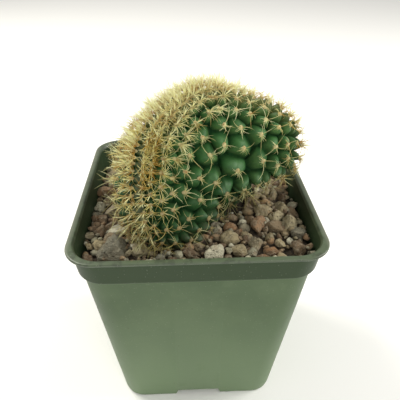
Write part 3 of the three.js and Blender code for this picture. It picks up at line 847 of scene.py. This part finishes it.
# %% Making the grit
# Least and most radius of the stones in each piece, and how finely their balls are divided
STONE_PIECES = {
    "stones_large": (2.3, 9, 4),
    "stones_middle": (1.5, 2.3, 3),
    "stones_small": (0, 1.5, 2),
}
stones = drop_stones()
radii = stones[:, 3]
print("stones:", len(stones), "radius", radii.min().round(2), "to", radii.max().round(2), "mm")
stone_material = stone_finish()
for name, (least, most, divisions) in STONE_PIECES.items():
    chosen = stones[(radii >= least) & (radii < most)]
    dress(stone_piece(name, chosen, divisions, 1000 * divisions), "grit", stone_material)
dress(bed_piece(), "grit", crumb_finish())

# %% [markdown]
# ## The body of the cactus
#
# The growing line is a closed loop: over the top of the fan, down its left end, back under the grit
# and up the right end. Each side of the fan falls from that line to one point, its pole, where the
# old ribs run together. A sculpted lump would lose the order of the ribs, so the skin is a formula:
# at each place along the line it is an arc over the crown, then a taut flank down to the pole.

# %% The fan's driving sizes
GROWING_LINE = np.array([
    (36.2, 1.5, 93.5), (34.8, 4.2, 101.2), (29.8, 5.8, 107.3), (23, 6.4, 110.5), (16, 6, 112.8),
    (8.6, 4.8, 115), (1.6, 2.6, 115.6), (-4.8, -0.6, 113.8), (-9.9, -4.6, 110.8), (-13.8, -9, 107.5),
    (-16.4, -13.6, 102.8), (-17.8, -18.2, 96.6), (-18, -22.2, 89.6), (-17, -25.6, 82.6), (-14.2, -27, 76),
    (-9.5, -25, 70), (-3, -18.5, 66), (4, -12, 64), (12, -7, 64), (18.4, -4.8, 68),
    (22.6, -3, 75), (28.4, -1.4, 81.4), (33.8, 0, 87),
])
# Points inside the fan that the growing line faces away from, one for each eighth of the line
CORE = np.array([
    (12, 2, 91.5), (14, 3, 93), (4, 0, 94), (-4, -0.5, 94),
    (-12, -1, 90), (-10, -8, 88), (4, -6, 86), (14, 0, 90),
], float)
HALF_THICKNESS = np.array([9.4, 11.2, 11.8, 11.8, 11.4, 9.6, 8.2, 8.4])[:, None]
POLES = {1: np.array([9.5, -15.5, 87.5]), -1: np.array([-2.0, 15.0, 89.0])}
POLE_AXIS = unit(POLES[1] - POLES[-1])
CROWN_ANGLE = (0.4, 2.4)  # least and most angle that one side of the crown turns through
FLANK_BULGE = 1.2  # how much the flank bulges over a straight line from pole to crown
FLANK_SHARE = 0.5  # share of the way from a pole to the line that is flank, not crown
ARC = 36.0  # usual length of the skin from the line to a pole
EDGE_STEP = 0.004
# The body draws in towards this upright line under its bent-over end, by this share
WAIST_MIDDLE = np.array([9.0, 4.0])
WAIST_SHARE = np.array([0.28, 0.4])
WAIST_ALONG = (0.0, 12.0)
WAIST_UP = (77.0, 90.0)


def waist_share(points):
    """How much a place belongs to the waist, from 0 to 1."""
    return smooth(points[..., 0], *WAIST_ALONG) * (1 - smooth(points[..., 2], *WAIST_UP))


def waisted(points):
    made = points.copy()
    share = waist_share(points)[..., None] * WAIST_SHARE
    made[..., :2] += (WAIST_MIDDLE - points[..., :2]) * share
    return made


# %% The smooth skin
def on_loop(points, s):
    """A place on the closed smooth curve through the points; s goes once round from 0 to 1."""
    count = len(points)
    place = (np.asarray(s, float) % 1.0) * count
    i = np.floor(place).astype(int)
    f = (place - i)[..., None]
    p0, p1, p2, p3 = (points[(i + k) % count] for k in (-1, 0, 1, 2))
    bend = (2 * p0 - 5 * p1 + 4 * p2 - p3) * f + (3 * p1 - p0 - 3 * p2 + p3) * f * f
    return 0.5 * (2 * p1 + (p2 - p0) * f + bend * f)


def skin_point(s, side, a):
    """Points of the smooth skin: s goes along the line and a from 0 at a pole to 1 on the line.

    The side is 1 for the front and -1 for the back.
    """
    place = on_loop(GROWING_LINE, s)
    along = unit(on_loop(GROWING_LINE, s + EDGE_STEP) - on_loop(GROWING_LINE, s - EDGE_STEP))
    facing = place - on_loop(CORE, s)
    facing = unit(facing - along * dot(facing, along)[..., None])
    sideways = unit(np.cross(along, facing))
    sideways = sideways * (side * np.sign(dot(sideways, POLE_AXIS)))[..., None]
    radius = on_loop(HALF_THICKNESS, s)[..., 0]
    middle = place - facing * radius[..., None]
    to_pole = POLES[side] - middle
    turn = np.arctan2(dot(to_pole, sideways), dot(to_pole, facing)) % (2 * math.pi)
    crown_end = np.clip(turn - np.arccos(np.minimum(1, radius / length(to_pole))), *CROWN_ANGLE)
    angle = crown_end * (1 - np.maximum(0, (a - FLANK_SHARE) / (1 - FLANK_SHARE)))
    out = facing * np.cos(angle)[..., None] + sideways * np.sin(angle)[..., None]
    on_crown = middle + out * radius[..., None]
    u = np.minimum(1, a / FLANK_SHARE)
    bulge = FLANK_BULGE * 16 * u * (1 - u) ** 2 / 3
    return waisted(POLES[side] + (on_crown - POLES[side]) * u[..., None] + out * bulge[..., None])


# %% [markdown]
# ### Where the areoles sit
#
# An areole is the small woolly cushion that carries the spines, one on each tubercle. New ones form
# along the growing line, so they stand tight there and spread apart as they move down the flank. They
# are laid in rows at growing distances from the line, with a small repeatable unevenness.

# %% Rows of areoles
# Distance from the growing line, spacing in the row, and the number that seeds the row's unevenness
ROWS = [
    (1.6, 2.5, 10),
    (3.9, 3.2, 11),
    (7.1, 4.5, 12),
    (11.0, 5.6, 13),
    (15.6, 6.7, 3),
    (21.5, 7.4, 4),
    (28.4, 7.6, 5),
]
OLD_SPACING = 8.5  # spacing under the filling and on the waist
BURIED_FADE = 4.0  # height below and above the filling over which the spacing changes
WEAK_SPREAD = 1.3  # how much wider the young rows are spaced where the line grows weakly
TOP_CROWDING = 0.2  # share by which they are closer at the top
ROW_SHIFT = 0.25
ROW_JITTER = 0.16
LINE_SAMPLES = 160
ARC_SAMPLES = 60
AREOLE_LOW = 0.17  # how far an areole sits below the middle of its tubercle, of their spacing
CROWN_TOP = (90.0, 104.0)  # heights over which the growth along the line gets broader
LINE_WEAKENS = (4.0, 26.0)  # x over which the line grows less and less


def vigour(points):
    """How strongly the growing line grows, from 0 at its right end to 1 at its left half."""
    return 1 - smooth(points[..., 0], *LINE_WEAKENS)


def areole_row(side, away, spacing, number):
    s = np.arange(LINE_SAMPLES) / LINE_SAMPLES
    lines = skin_point(s[:, None], side, 1 - np.arange(ARC_SAMPLES + 1)[None, :] / ARC_SAMPLES)
    steps = length(np.diff(lines, axis=1))
    reached = np.cumsum(steps, axis=1)
    left = away * (1 + ((reached[:, -1] / ARC - 1) * away) / ARC)
    i = np.minimum(np.sum(reached < left[:, None], axis=1), ARC_SAMPLES - 1)
    row = np.arange(LINE_SAMPLES)
    before = np.where(i > 0, reached[row, i - 1], 0)
    t = np.minimum(1, (left - before) / steps[row, i])[:, None]
    track = lines[row, i] * (1 - t) + lines[row, i + 1] * t
    down = unit(lines[row, i + 1] - lines[row, i])
    young = smooth(track[:, 2], SOIL - BURIED_FADE, SOIL + BURIED_FADE) * (1 - waist_share(track))
    spacing = spacing + WEAK_SPREAD * (1 - vigour(track)) * (away < 9)
    crowded = vigour(track) * smooth(track[:, 2], *CROWN_TOP) * (away < 12)
    spacing = spacing * (1 - TOP_CROWDING * crowded)
    weight = length(np.roll(track, -1, axis=0) - track) / mix(OLD_SPACING, spacing, young)
    total = weight.sum()
    count = round(total)
    k = np.arange(count)
    jitter = ROW_JITTER * (2 * chance(k, number, side) - 1)
    goal = (k + 0.5 + ROW_SHIFT * (number % 2) + jitter) * total / count
    passed = np.cumsum(weight)
    i = np.minimum(np.searchsorted(passed, goal), LINE_SAMPLES - 1)
    t = ((goal - (passed[i] - weight[i])) / weight[i])[:, None]
    after = (i + 1) % LINE_SAMPLES
    along = unit(track[after] - track[i])
    downward = down[i] * (1 - t) + down[after] * t
    downward = unit(downward - along * dot(downward, along)[:, None])
    return {
        "point": track[i] * (1 - t) + track[after] * t,
        "down": downward,
        "normal": np.cross(along, downward) * side,
        "away": np.full(count, away),
    }


def pole_areole(side):
    normal = POLE_AXIS * side
    down = unit(np.array([0, 0, -1]) + normal * normal[2])
    return {
        "point": waisted(POLES[side][None]),
        "down": down[None],
        "normal": normal[None],
        "away": np.array([ARC]),
    }


# %% All areoles
rows = [areole_row(side, *row) for side in (1, -1) for row in ROWS]
rows += [pole_areole(side) for side in (1, -1)]
areoles = {key: np.concatenate([row[key] for row in rows]) for key in rows[0]}
# The old skin of the waist keeps only every other row near the line
kept = (waist_share(areoles["point"]) < 0.35) | ~np.isin(areoles["away"], (ROWS[0][0], ROWS[2][0]))
areoles = {key: value[kept] for key, value in areoles.items()}


def tree_of(points):
    tree = kdtree.KDTree(len(points))
    for number, point in enumerate(points):
        tree.insert(point, number)
    tree.balance()
    return tree


areole_tree = tree_of(areoles["point"])
neighbours = [areole_tree.find_n(point, 6)[1:] for point in areoles["point"]]
reach = np.array([np.mean([found[2] for found in near]) for near in neighbours])
areoles["reach"] = reach
# An areole sits low on its tubercle, so the middle of the tubercle lies above it
areoles["middle"] = areoles["point"] - areoles["down"] * (AREOLE_LOW * reach)[:, None]
tubercle_tree = tree_of(areoles["middle"])
print("areoles:", len(reach), "spacing", reach.min().round(1), "to", reach.max().round(1), "mm")

# %% [markdown]
# ### Tubercles
#
# Each tubercle is a pillow: it is highest below its middle, as a chin that carries the areole, has a
# soft keel down its length, and falls steeply into the groove where it meets its neighbours. How near
# a point is to a groove follows from the nearest tubercles: it is 0 at a middle and 1 half way to the
# next one. The skin is a fine net, and each of its points moves along its normal by this height.

# %% The net of the skin
NET_COLUMNS = 540
NET_ROWS = 90
NEIGHBOURS = 8
# Heights of the relief, of the local spacing
GROOVE = 0.48
SHOULDER = 0.17
KEEL = 0.10
SINK = 0.08  # how far all of it sinks, so that the areoles stay where the rows set them
CHIN = 1.0  # how much higher the shoulder is below a tubercle's middle, of its height
KEEL_WIDTH = 0.2  # how far the keel spreads to each side, of the local spacing
GROOVE_POWER = 1.9  # the higher, the flatter a tubercle and the steeper its groove
MEETING_POWER = 7  # the higher, the sharper the corners are where grooves meet
LINE_DENT = 0.4  # depth of the crease along the growing line, and its half width
LINE_WIDTH = 0.8
LINE_CALM = 0.6  # share of the relief that is missing on the line


def skin_net():
    """Points, faces, smooth normals and the distance from the growing line for the whole body."""
    s = np.arange(NET_COLUMNS) / NET_COLUMNS
    a = np.linspace(0, 1, NET_ROWS + 1)[1:]
    front = skin_point(s[:, None], 1, a[None, :]).transpose(1, 0, 2)
    back = skin_point(s[:, None], -1, a[None, :]).transpose(1, 0, 2)
    rings = np.concatenate([front, back[-2::-1]])
    across = np.gradient(rings, axis=0)
    around = np.roll(rings, -1, axis=1) - np.roll(rings, 1, axis=1)
    normals = unit(np.cross(around, across))
    inside = on_loop(CORE, s)
    if np.mean(dot(normals, rings - inside)) < 0:
        normals = -normals
    steps = length(np.diff(rings, axis=0))
    edge = NET_ROWS - 1
    away = np.zeros(rings.shape[:2])
    away[:edge] = np.cumsum(steps[:edge][::-1], axis=0)[::-1]
    away[edge + 1 :] = np.cumsum(steps[edge:], axis=0)
    poles = waisted(np.array([POLES[1], POLES[-1]]))
    points = np.concatenate([rings.reshape(-1, 3), poles])
    normals = np.concatenate([normals.reshape(-1, 3), [POLE_AXIS, -POLE_AXIS]])
    away = np.concatenate([away.ravel(), [ARC, ARC]])
    return points, normals, away, ring_faces(NET_COLUMNS, len(rings))


# %% Height of the tubercles
def groove_share(points):
    """For each point: its areole, how near it is to a groove (about 0 to 1), and the local spacing."""
    found = [tubercle_tree.find_n(p, NEIGHBOURS) for p in points]
    near = np.array([[f[1] for f in row] for row in found])
    far = np.array([[f[2] for f in row] for row in found])
    own = areoles["middle"][near[:, 0]]
    share = np.zeros(len(points))
    for k in range(1, NEIGHBOURS):
        gap = length(areoles["middle"][near[:, k]] - own)
        to_groove = (far[:, k] ** 2 - far[:, 0] ** 2) / (2 * gap)
        share += np.maximum(0, 1 - 2 * to_groove / gap) ** MEETING_POWER
    share = share ** (1 / MEETING_POWER)
    pull = 1 / (far**4 + 1e-3)
    reach = np.sum(pull * areoles["reach"][near], axis=1) / pull.sum(axis=1)
    return near[:, 0], share, reach


def tubercle_height(points, away):
    own, share, reach = groove_share(points)
    offset = points - areoles["middle"][own]
    chin = dot(unit(offset), areoles["down"][own])
    across = dot(offset, np.cross(areoles["down"][own], areoles["normal"][own]))
    keel = KEEL * np.exp(-((across / (KEEL_WIDTH * reach)) ** 2)) * (1 - np.minimum(share, 1))
    bulge = SHOULDER * (1 + CHIN * chin) * np.sin(math.pi * np.minimum(share, 1))
    height = reach * (bulge + keel - SINK - GROOVE * share**GROOVE_POWER)
    line = np.exp(-((away / LINE_WIDTH) ** 2))
    return height * (1 - LINE_CALM * line) - LINE_DENT * line, share, own, chin * np.minimum(share, 1)


# %% The body
net_points, net_normals, net_away, net_faces = skin_net()
net_height, net_share, net_own, net_chin_highlight = tubercle_height(net_points, net_away)
body_points = net_points + net_normals * net_height[:, None]
values = {"groove": net_share, "away": net_away, "chin": net_chin_highlight, "seed": chance(net_own, 3, 5)}
body = make_piece("cactus_body", body_points, net_faces, values)

# %% [markdown]
# ### Skin
#
# The skin is a waxy deep green. Painted shade makes it nearly black in the grooves, dark between the
# young spines and darker low down, and a painted highlight makes it lighter on the crests and chins of
# the tubercles. It is pale and felted along the growing line, yellower at the top of the crown, and
# brown and corky where the old body goes into the grit.
# These follow from height and from what the mesh carries: how near a groove and the line are, where
# the chins are, and a seed for each tubercle.


# %% Skin finish
def skin_finish():
    f = Finish("cactus skin")
    groove, away, height = f.read("groove"), f.read("away"), f.place("Z")
    clouds = f.group(BLOTCHES, Scale=160.0, Low=0.35, High=0.65)
    fine = f.group(BLOTCHES, Scale=900.0, Low=0.4, High=0.62)
    stipple = f.group(SPECKS, Scale=3200.0, Radius=0.42, Share=0.55)
    top = {0: f.ranged(height, 0.101, 0.112, 0.0, 0.75), 1: f.ranged(away, 4.0, 9.0, 1.0, 0.0)}
    crown = f.add("Math", top, operation="MULTIPLY").outputs["Value"]
    old = f.sum((f.ranged(height, 0.074, 0.087, 1.0, 0.0), 0.75), (fine, 0.25))
    colour = f.coats(f.blend(clouds, (0.026, 0.106, 0.026), (0.052, 0.176, 0.044)), [
        (f.read("seed"), 0, 1, 0, 0.4, (0.044, 0.130, 0.030)),
        (groove, 0.2, 0.7, 0.45, 0.0, (0.098, 0.232, 0.080)),  # painted highlight on the crests
        # painted highlight on the chins
        (f.read("chin"), 0.15, 0.6, 0.0, 0.7, (0.105, 0.205, 0.060)),
        (groove, 0.72, 1.02, 0.0, 0.92, (0.005, 0.022, 0.008)),  # painted shade in the grooves
        (fine, 0, 1, 0.0, 0.28, (0.020, 0.088, 0.030)),
        (stipple, 0, 1, 0.0, 0.16, (0.12, 0.21, 0.12)),
        (away, 3.5, 8.5, 0.75, 0.0, (0.014, 0.034, 0.008)),  # painted shade between the young spines
        (height, 0.078, 0.100, 0.75, 0.0, (0.008, 0.036, 0.012)),  # painted shade low down
        (away, 0.3, 1.5, 0.6, 0.0, (0.190, 0.215, 0.130)),  # felt on the line
        (crown, 0, 1, 0, 1, (0.180, 0.205, 0.072)),
        (old, 0.55, 1.0, 0.0, 0.7, (0.075, 0.062, 0.030)),  # cork
    ])
    dull = f.sum((f.ranged(away, 0, 3, 0.4, 0.0), 1.0), (f.ranged(groove, 0.6, 1.0, 0.0, 0.5), 1.0))
    rough = f.sum((f.ranged(fine, 0, 1, 0.42, 0.52), 1.0), (clouds, 0.08), (dull, 1.0))
    f.set(Base_Color=colour, Roughness=rough, Specular_IOR_Level=f.ranged(groove, 0.5, 0.95, 0.5, 0.05))
    f.set(Subsurface_Weight=0.08, Subsurface_Scale=0.0010, Subsurface_Radius=(0.4, 1.0, 0.3))
    f.bump(f.sum((f.group(GRAIN, Scale=1500.0, Fine_Share=0.5), 1.0), (stipple, 0.25)), 0.08, 0.6)
    return f.material


dress(body, "crest", skin_finish())

# %% [markdown]
# ### Areoles
#
# The wool of an areole is a low oval cushion of felt. Hair curves would be lost when the model is
# exported, so the cushion is a small lumpy dome with a clumped matt finish, and the short curled
# spines that come next stand for its longest hairs.

# %% Which areoles can be seen
above = areoles["point"][:, 2] > soil_height(areoles["point"][:, 0], areoles["point"][:, 1]) + 1.0
shown = np.flatnonzero(above)
seats = {key: value[shown] for key, value in areoles.items()}
seat_height = tubercle_height(seats["point"], seats["away"])[0]
seats["point"] = seats["point"] + seats["normal"] * seat_height[:, None]
seats["along"] = np.cross(seats["down"], seats["normal"])
print("areoles above the grit:", len(shown))

# %% Cushions of wool
CUSHION_SIDES = 10
CUSHION_RINGS = 4
CUSHION_SPREAD = (0.40, 0.70)  # half width of a young and of an old cushion
CUSHION_RISE = (0.30, 0.50)
CUSHION_OVAL = 1.25
CUSHION_LUMPS = 0.22
FULL_REACH = 6.0  # spacing at which a cushion has its full size


def cushions():
    own = np.minimum(1.0, seats["reach"] / FULL_REACH)
    across = mix(*CUSHION_SPREAD, own)
    high = mix(*CUSHION_RISE, own)
    angle = np.arange(CUSHION_SIDES) * 2 * math.pi / CUSHION_SIDES
    rise = np.linspace(-0.35, 1, CUSHION_RINGS + 1)[:-1] * math.pi / 2
    points = []
    for seat in range(len(shown)):
        lump = 1 + CUSHION_LUMPS * (chance(seat, np.arange(CUSHION_RINGS * CUSHION_SIDES), 1) - 0.5)
        wide = across[seat] * np.cos(rise)[:, None] * lump.reshape(CUSHION_RINGS, -1)
        x = wide * np.cos(angle)
        y = CUSHION_OVAL * wide * np.sin(angle)
        z = high[seat] * np.sin(rise)[:, None] * np.ones(CUSHION_SIDES)
        local = np.stack([x, y, z], axis=-1).reshape(-1, 3)
        local = np.concatenate([local, [[0, 0, high[seat]]]])
        base = np.array([seats["along"][seat], seats["down"][seat], seats["normal"][seat]])
        points.append(seats["point"][seat] + local @ base)
    last = np.arange(CUSHION_SIDES) + (CUSHION_RINGS - 1) * CUSHION_SIDES
    per = CUSHION_RINGS * CUSHION_SIDES + 1
    caps = np.column_stack([last, np.roll(last, -1), np.full(CUSHION_SIDES, per - 1)])
    faces = copied([ring_quads(CUSHION_SIDES, CUSHION_RINGS), caps], len(shown), per)
    seed = np.repeat(chance(shown, 8, 8), per)
    return make_piece("areole_wool", np.concatenate(points), faces, {"seed": seed})


# %% Wool finish
def wool_finish():
    f = Finish("areole wool")
    clumps = f.group(BLOTCHES, Scale=1500.0, Low=0.36, High=0.52)
    colour = f.coats(f.blend(clumps, (0.420, 0.190, 0.050), (0.640, 0.580, 0.300)), [
        (f.read("seed"), 0, 1, 0.0, 0.4, (0.640, 0.610, 0.360)),
        # Painted shade: the wool is darker low down.
        (f.place("Z"), 0.078, 0.106, 0.75, 0.0, (0.225, 0.160, 0.075)),
    ])
    f.set(Base_Color=colour, Roughness=f.ranged(clumps, 0, 1, 0.85, 1.0), Specular_IOR_Level=0.2)
    f.bump(f.group(GRAIN, Scale=2600.0, Fine_Share=0.6), 0.25, 1.0)
    return f.material


dress(cushions(), "crest", wool_finish())

# %% [markdown]
# ### Spines
#
# An old areole on the flank carries two to four long spines that lie out sideways and down, and a
# tassel of about ten short curled ones under its wool. The young ones near the growing line carry a
# brush: a mat of fine curled spines, and over it straight bright ones that stand up and lean away
# from the line. Each spine is a tapered tube along a curve, because hair curves would be lost in the
# export, and a spine that would cut into a tubercle is lifted over it.

# %% Spine sizes
BASE_ALONG = (-17.0, -11.0)  # x over which the young spines end along the foot of the body
BASE_UP = (80.0, 88.0)  # heights under which they do
LINE_COVERED = (86.0, 97.0)  # heights over which the young spines part along the growing line
LONG_SPINES = 3
SHORT_SPINES = 10
CROWN_SPINES = 20
COUNT_SPREAD = 2.4  # how much the number of spines varies from areole to areole
WISPS = 0.72  # draws above this stand up and stay straight on the crown
# Length, curl and radius at the foot of a long and of a short spine of the flank
FLANK_SIZE = (6.0, 2.9)
FLANK_CURL = (0.5, 2.6)
FLANK_RADIUS = (0.095, 0.082)
# Length of a young spine where the line grows weakly and strongly, curl and radius of a curled one
# and of a straight one
YOUNG_SIZE = (3.4, 5.2)
YOUNG_CURL = (1.5, 0.4)
YOUNG_RADIUS = (0.074, 0.118)
GOLDEN_TURN = 2.39996  # the golden angle, which spreads the spines evenly round an areole
SPINE_STEPS = 6
TAPER = np.array([1.0, 1.0, 0.86, 0.68, 0.46])  # radius at each step but the tip, of that at the foot
TUBE_SIDES = 3
LIFT_OVER_SKIN = 0.18  # least height of a spine's outer points over the skin

body_tree = tree_of(body_points)


# %% What an areole grows
def areole_habit(seat):
    """How strong, broad, parted and young an areole's growth is, each from 0 to 1, and its spines."""
    point, away = seats["point"][seat], seats["away"][seat]
    strong, old = float(vigour(point)), float(waist_share(point))
    wide = strong * float(smooth(point[2], *CROWN_TOP))
    parted = max(1 - strong, float(smooth(point[2], *LINE_COVERED)))
    buried = float(smooth(point[0], *BASE_ALONG) * (1 - smooth(point[2], *BASE_UP)))
    crown_starts, crown_ends = mix(2, 3.4, strong) + 6 * wide, mix(7, 8.0, strong) + 9 * wide
    crown = (1 - float(smooth(away, crown_starts, crown_ends))) * (1 - buried)
    young_spines = mix(0.55, 0.66 + 0.95 * wide, strong) * CROWN_SPINES
    usual = mix(LONG_SPINES + SHORT_SPINES, young_spines, crown)
    usual = usual + COUNT_SPREAD * (chance(seat, 1, 2) - 0.5)
    return strong, wide, parted, crown, max(3, round(usual * (1 - 0.5 * max(old, buried))))


# %% One spine's curve
def spine_path(point, normal, lean, lift, size, curl, swing):
    """Points from just under the wool to the tip: it rises by lift, curls over and swings sideways."""
    t = np.linspace(0, 1, SPINE_STEPS)
    angle = lift + 0.25 - curl * t
    step = size / (SPINE_STEPS - 1)
    sway = swing * t
    level = lean[None] * np.cos(sway)[:, None] + np.cross(normal, lean)[None] * np.sin(sway)[:, None]
    move = level * np.cos(angle)[:, None] + normal[None] * np.sin(angle)[:, None]
    path = point + lean * 0.3 + normal * 0.1 + np.cumsum(move, axis=0) * step
    return np.vstack([point + lean * 0.15 - normal * 0.3, path[:-1]])


# %% All spines
def grow_spines():
    """Curves of all spines, their radius at the foot, their seed and their areole's distance."""
    paths, thickness, seeds, ages = [], [], [], []
    for seat in range(len(shown)):
        point, normal, down, along = (seats[key][seat] for key in ("point", "normal", "down", "along"))
        strong, wide, parted, crown, count = areole_habit(seat)
        long_ones = LONG_SPINES + 2 * (chance(seat, 5, 6) - 0.5)
        start = chance(seat, 3, 4) * 2 * math.pi
        gravity = unit(normal * normal[2] - (0, 0, 1))
        tuft = mix(1, 0.78 + 0.4 * float(chance(seat, 9, 1)), crown)
        for k in range(count):
            draw = [float(chance(seat, k, n)) for n in range(7)]
            short, wisp = float(k >= long_ones), float(draw[1] > WISPS)
            turn = start + k * GOLDEN_TURN + 0.7 * (draw[0] - 0.5)
            hang = mix(mix(0.1, 1.0, short), mix(-0.25, 0.9, parted), crown)
            lean = along * math.sin(turn) * mix(1, 0.8, crown) + down * (math.cos(turn) + hang)
            lean = unit(lean + gravity * mix(0.8, 0.1, parted) * crown)
            flank_lift = mix(0.15 + 0.85 * draw[1] ** 1.3, 0.35 + 0.6 * draw[1], short)
            lift = mix(flank_lift, mix(0.35 + 0.9 * draw[1], 1.15, wisp), crown)
            young_size = mix(YOUNG_SIZE[0], YOUNG_SIZE[1] - 0.4 * wide, strong)
            size = mix(mix(*FLANK_SIZE, short), young_size, crown) * (0.5 + 0.75 * draw[2]) * tuft
            curl = mix(mix(*FLANK_CURL, short), mix(*YOUNG_CURL, wisp), crown) * (0.2 + 1.4 * draw[3])
            swing = mix(1.4, 1.3, crown) * (draw[6] - 0.5) * 2
            paths.append(spine_path(point, normal, lean, lift, size, curl, swing))
            radius = mix(mix(*FLANK_RADIUS, short), mix(*YOUNG_RADIUS, wisp), crown)
            thickness.append(radius * (0.7 + 0.6 * draw[4]))
            tint = mix(draw[5], float(chance(seat, 7, 9)), mix(0.35, 0.62, crown))
            seeds.append(mix(tint, mix(0.8 * tint, 0.6 + 0.4 * draw[5], wisp), crown))
            ages.append(seats["away"][seat])
    return np.array(paths), np.array(thickness), np.array(seeds), np.array(ages)


def lift_over_skin(paths):
    """Lifts the outer points of spines that would cut into a tubercle."""
    for j in range(2, paths.shape[1]):
        for k in range(len(paths)):
            _, near, _ = body_tree.find(paths[k, j])
            rise = float(np.dot(paths[k, j] - body_points[near], net_normals[near]))
            if rise < LIFT_OVER_SKIN:
                paths[k, j:] += net_normals[near] * (LIFT_OVER_SKIN - rise)


# %% Tubes along many paths at once
def tubes(paths, radii):
    """Tapered tubes: paths is (count, steps, 3), radii (count, steps - 1). Each ends in a point."""
    count, steps, _ = paths.shape
    forward = unit(np.gradient(paths, axis=1))
    helper = unit(np.cross(forward[:, 0], forward[:, -1] + 1e-3))
    right = unit(helper[:, None] - forward * dot(helper[:, None], forward)[..., None])
    up = np.cross(forward, right)
    angle = np.arange(TUBE_SIDES) * 2 * math.pi / TUBE_SIDES
    ring = right[:, :, None] * np.cos(angle)[:, None] + up[:, :, None] * np.sin(angle)[:, None]
    body = paths[:, :-1, None] + ring[:, :-1] * radii[:, :, None, None]
    points = np.concatenate([body.reshape(count, -1, 3), paths[:, :1], paths[:, -1:]], axis=1)
    per = points.shape[1]
    faces = copied(ring_faces(TUBE_SIDES, steps - 1), count, per)
    along = np.concatenate([np.repeat(np.linspace(0, 1, steps)[:-1], TUBE_SIDES), [0, 1]])
    return points.reshape(-1, 3), faces, np.tile(along, count), per


# %% [markdown]
# ### Spine colours
#
# A young spine is anything from orange-brown to bright yellow, a whole tuft mostly of one tint, and
# orange at its foot. It bleaches to cream as its areole moves down the flank. Low down all are darkened
# by painted shade, and at the top they are paler young spines with painted light on them, so the mesh
# carries a seed, the way along the spine and its age.


# %% Spine finish
GOLDEN_COLOURS = [
    (0.0, (0.25, 0.102, 0.012)),
    (0.22, (0.54, 0.305, 0.040)),
    (0.43, (0.69, 0.61, 0.17)),
    (1.0, (0.93, 0.97, 0.60)),
]
CREAM_COLOURS = [(0.0, (0.40, 0.34, 0.10)), (0.4, (0.62, 0.60, 0.25)), (1.0, (0.84, 0.85, 0.50))]


def spine_finish():
    f = Finish("spines")
    along, seed, height = f.read("along"), f.read("seed"), f.place("Z")
    golden = f.coats(f.ramp(seed, GOLDEN_COLOURS), [(along, 0.0, 0.42, 0.9, 0.0, (0.50, 0.225, 0.03))])
    cream = f.coats(f.ramp(seed, CREAM_COLOURS), [(along, 0.0, 0.36, 0.7, 0.0, (0.40, 0.25, 0.07))])
    # Painted shade: spines are darker low down.
    painted_low_shade = f.sum((f.ranged(height, 0.074, 0.100, 0.9, 0.0), 1.0), (seed, -0.45))
    # Paler young spines and painted light: spines are lighter at the top.
    pale_and_top_light = f.sum((f.ranged(height, 0.102, 0.113, -0.65, 0.1), 1.0), (seed, 0.7))
    colour = f.coats(golden, [
        (f.read("age"), 6, 14, 0.0, 1.0, cream),
        (painted_low_shade, 0, 1, 0, 1, (0.13, 0.097, 0.026)),
        (pale_and_top_light, 0, 1, 0, 1, (0.95, 0.96, 0.60)),
        (along, 0.8, 1.0, 0.0, 0.3, (0.42, 0.28, 0.09)),
    ])
    f.set(Base_Color=colour, Roughness=f.ranged(seed, 0, 1, 0.4, 0.6))
    f.bump(f.group(GRAIN, Scale=3000.0), 0.02, 0.5)
    return f.material


# %% Making the spines
# Distances from the growing line between which each piece's areoles lie
SPINE_PIECES = {"spines_crown": (0, 7), "spines_shoulder": (7, 16), "spines_flank": (16, ARC + 1)}
paths, thickness, spine_seed, spine_away = grow_spines()
lift_over_skin(paths)
print("spines:", len(paths))
spine_material = spine_finish()
for name, (least, most) in SPINE_PIECES.items():
    chosen = (spine_away >= least) & (spine_away < most)
    points, faces, along, per = tubes(paths[chosen], thickness[chosen, None] * TAPER)
    values = {"along": along}
    for label, numbers in (("seed", spine_seed), ("age", spine_away)):
        values[label] = np.repeat(numbers[chosen], per)
    dress(make_piece(name, points, faces, values), "crest", spine_material)
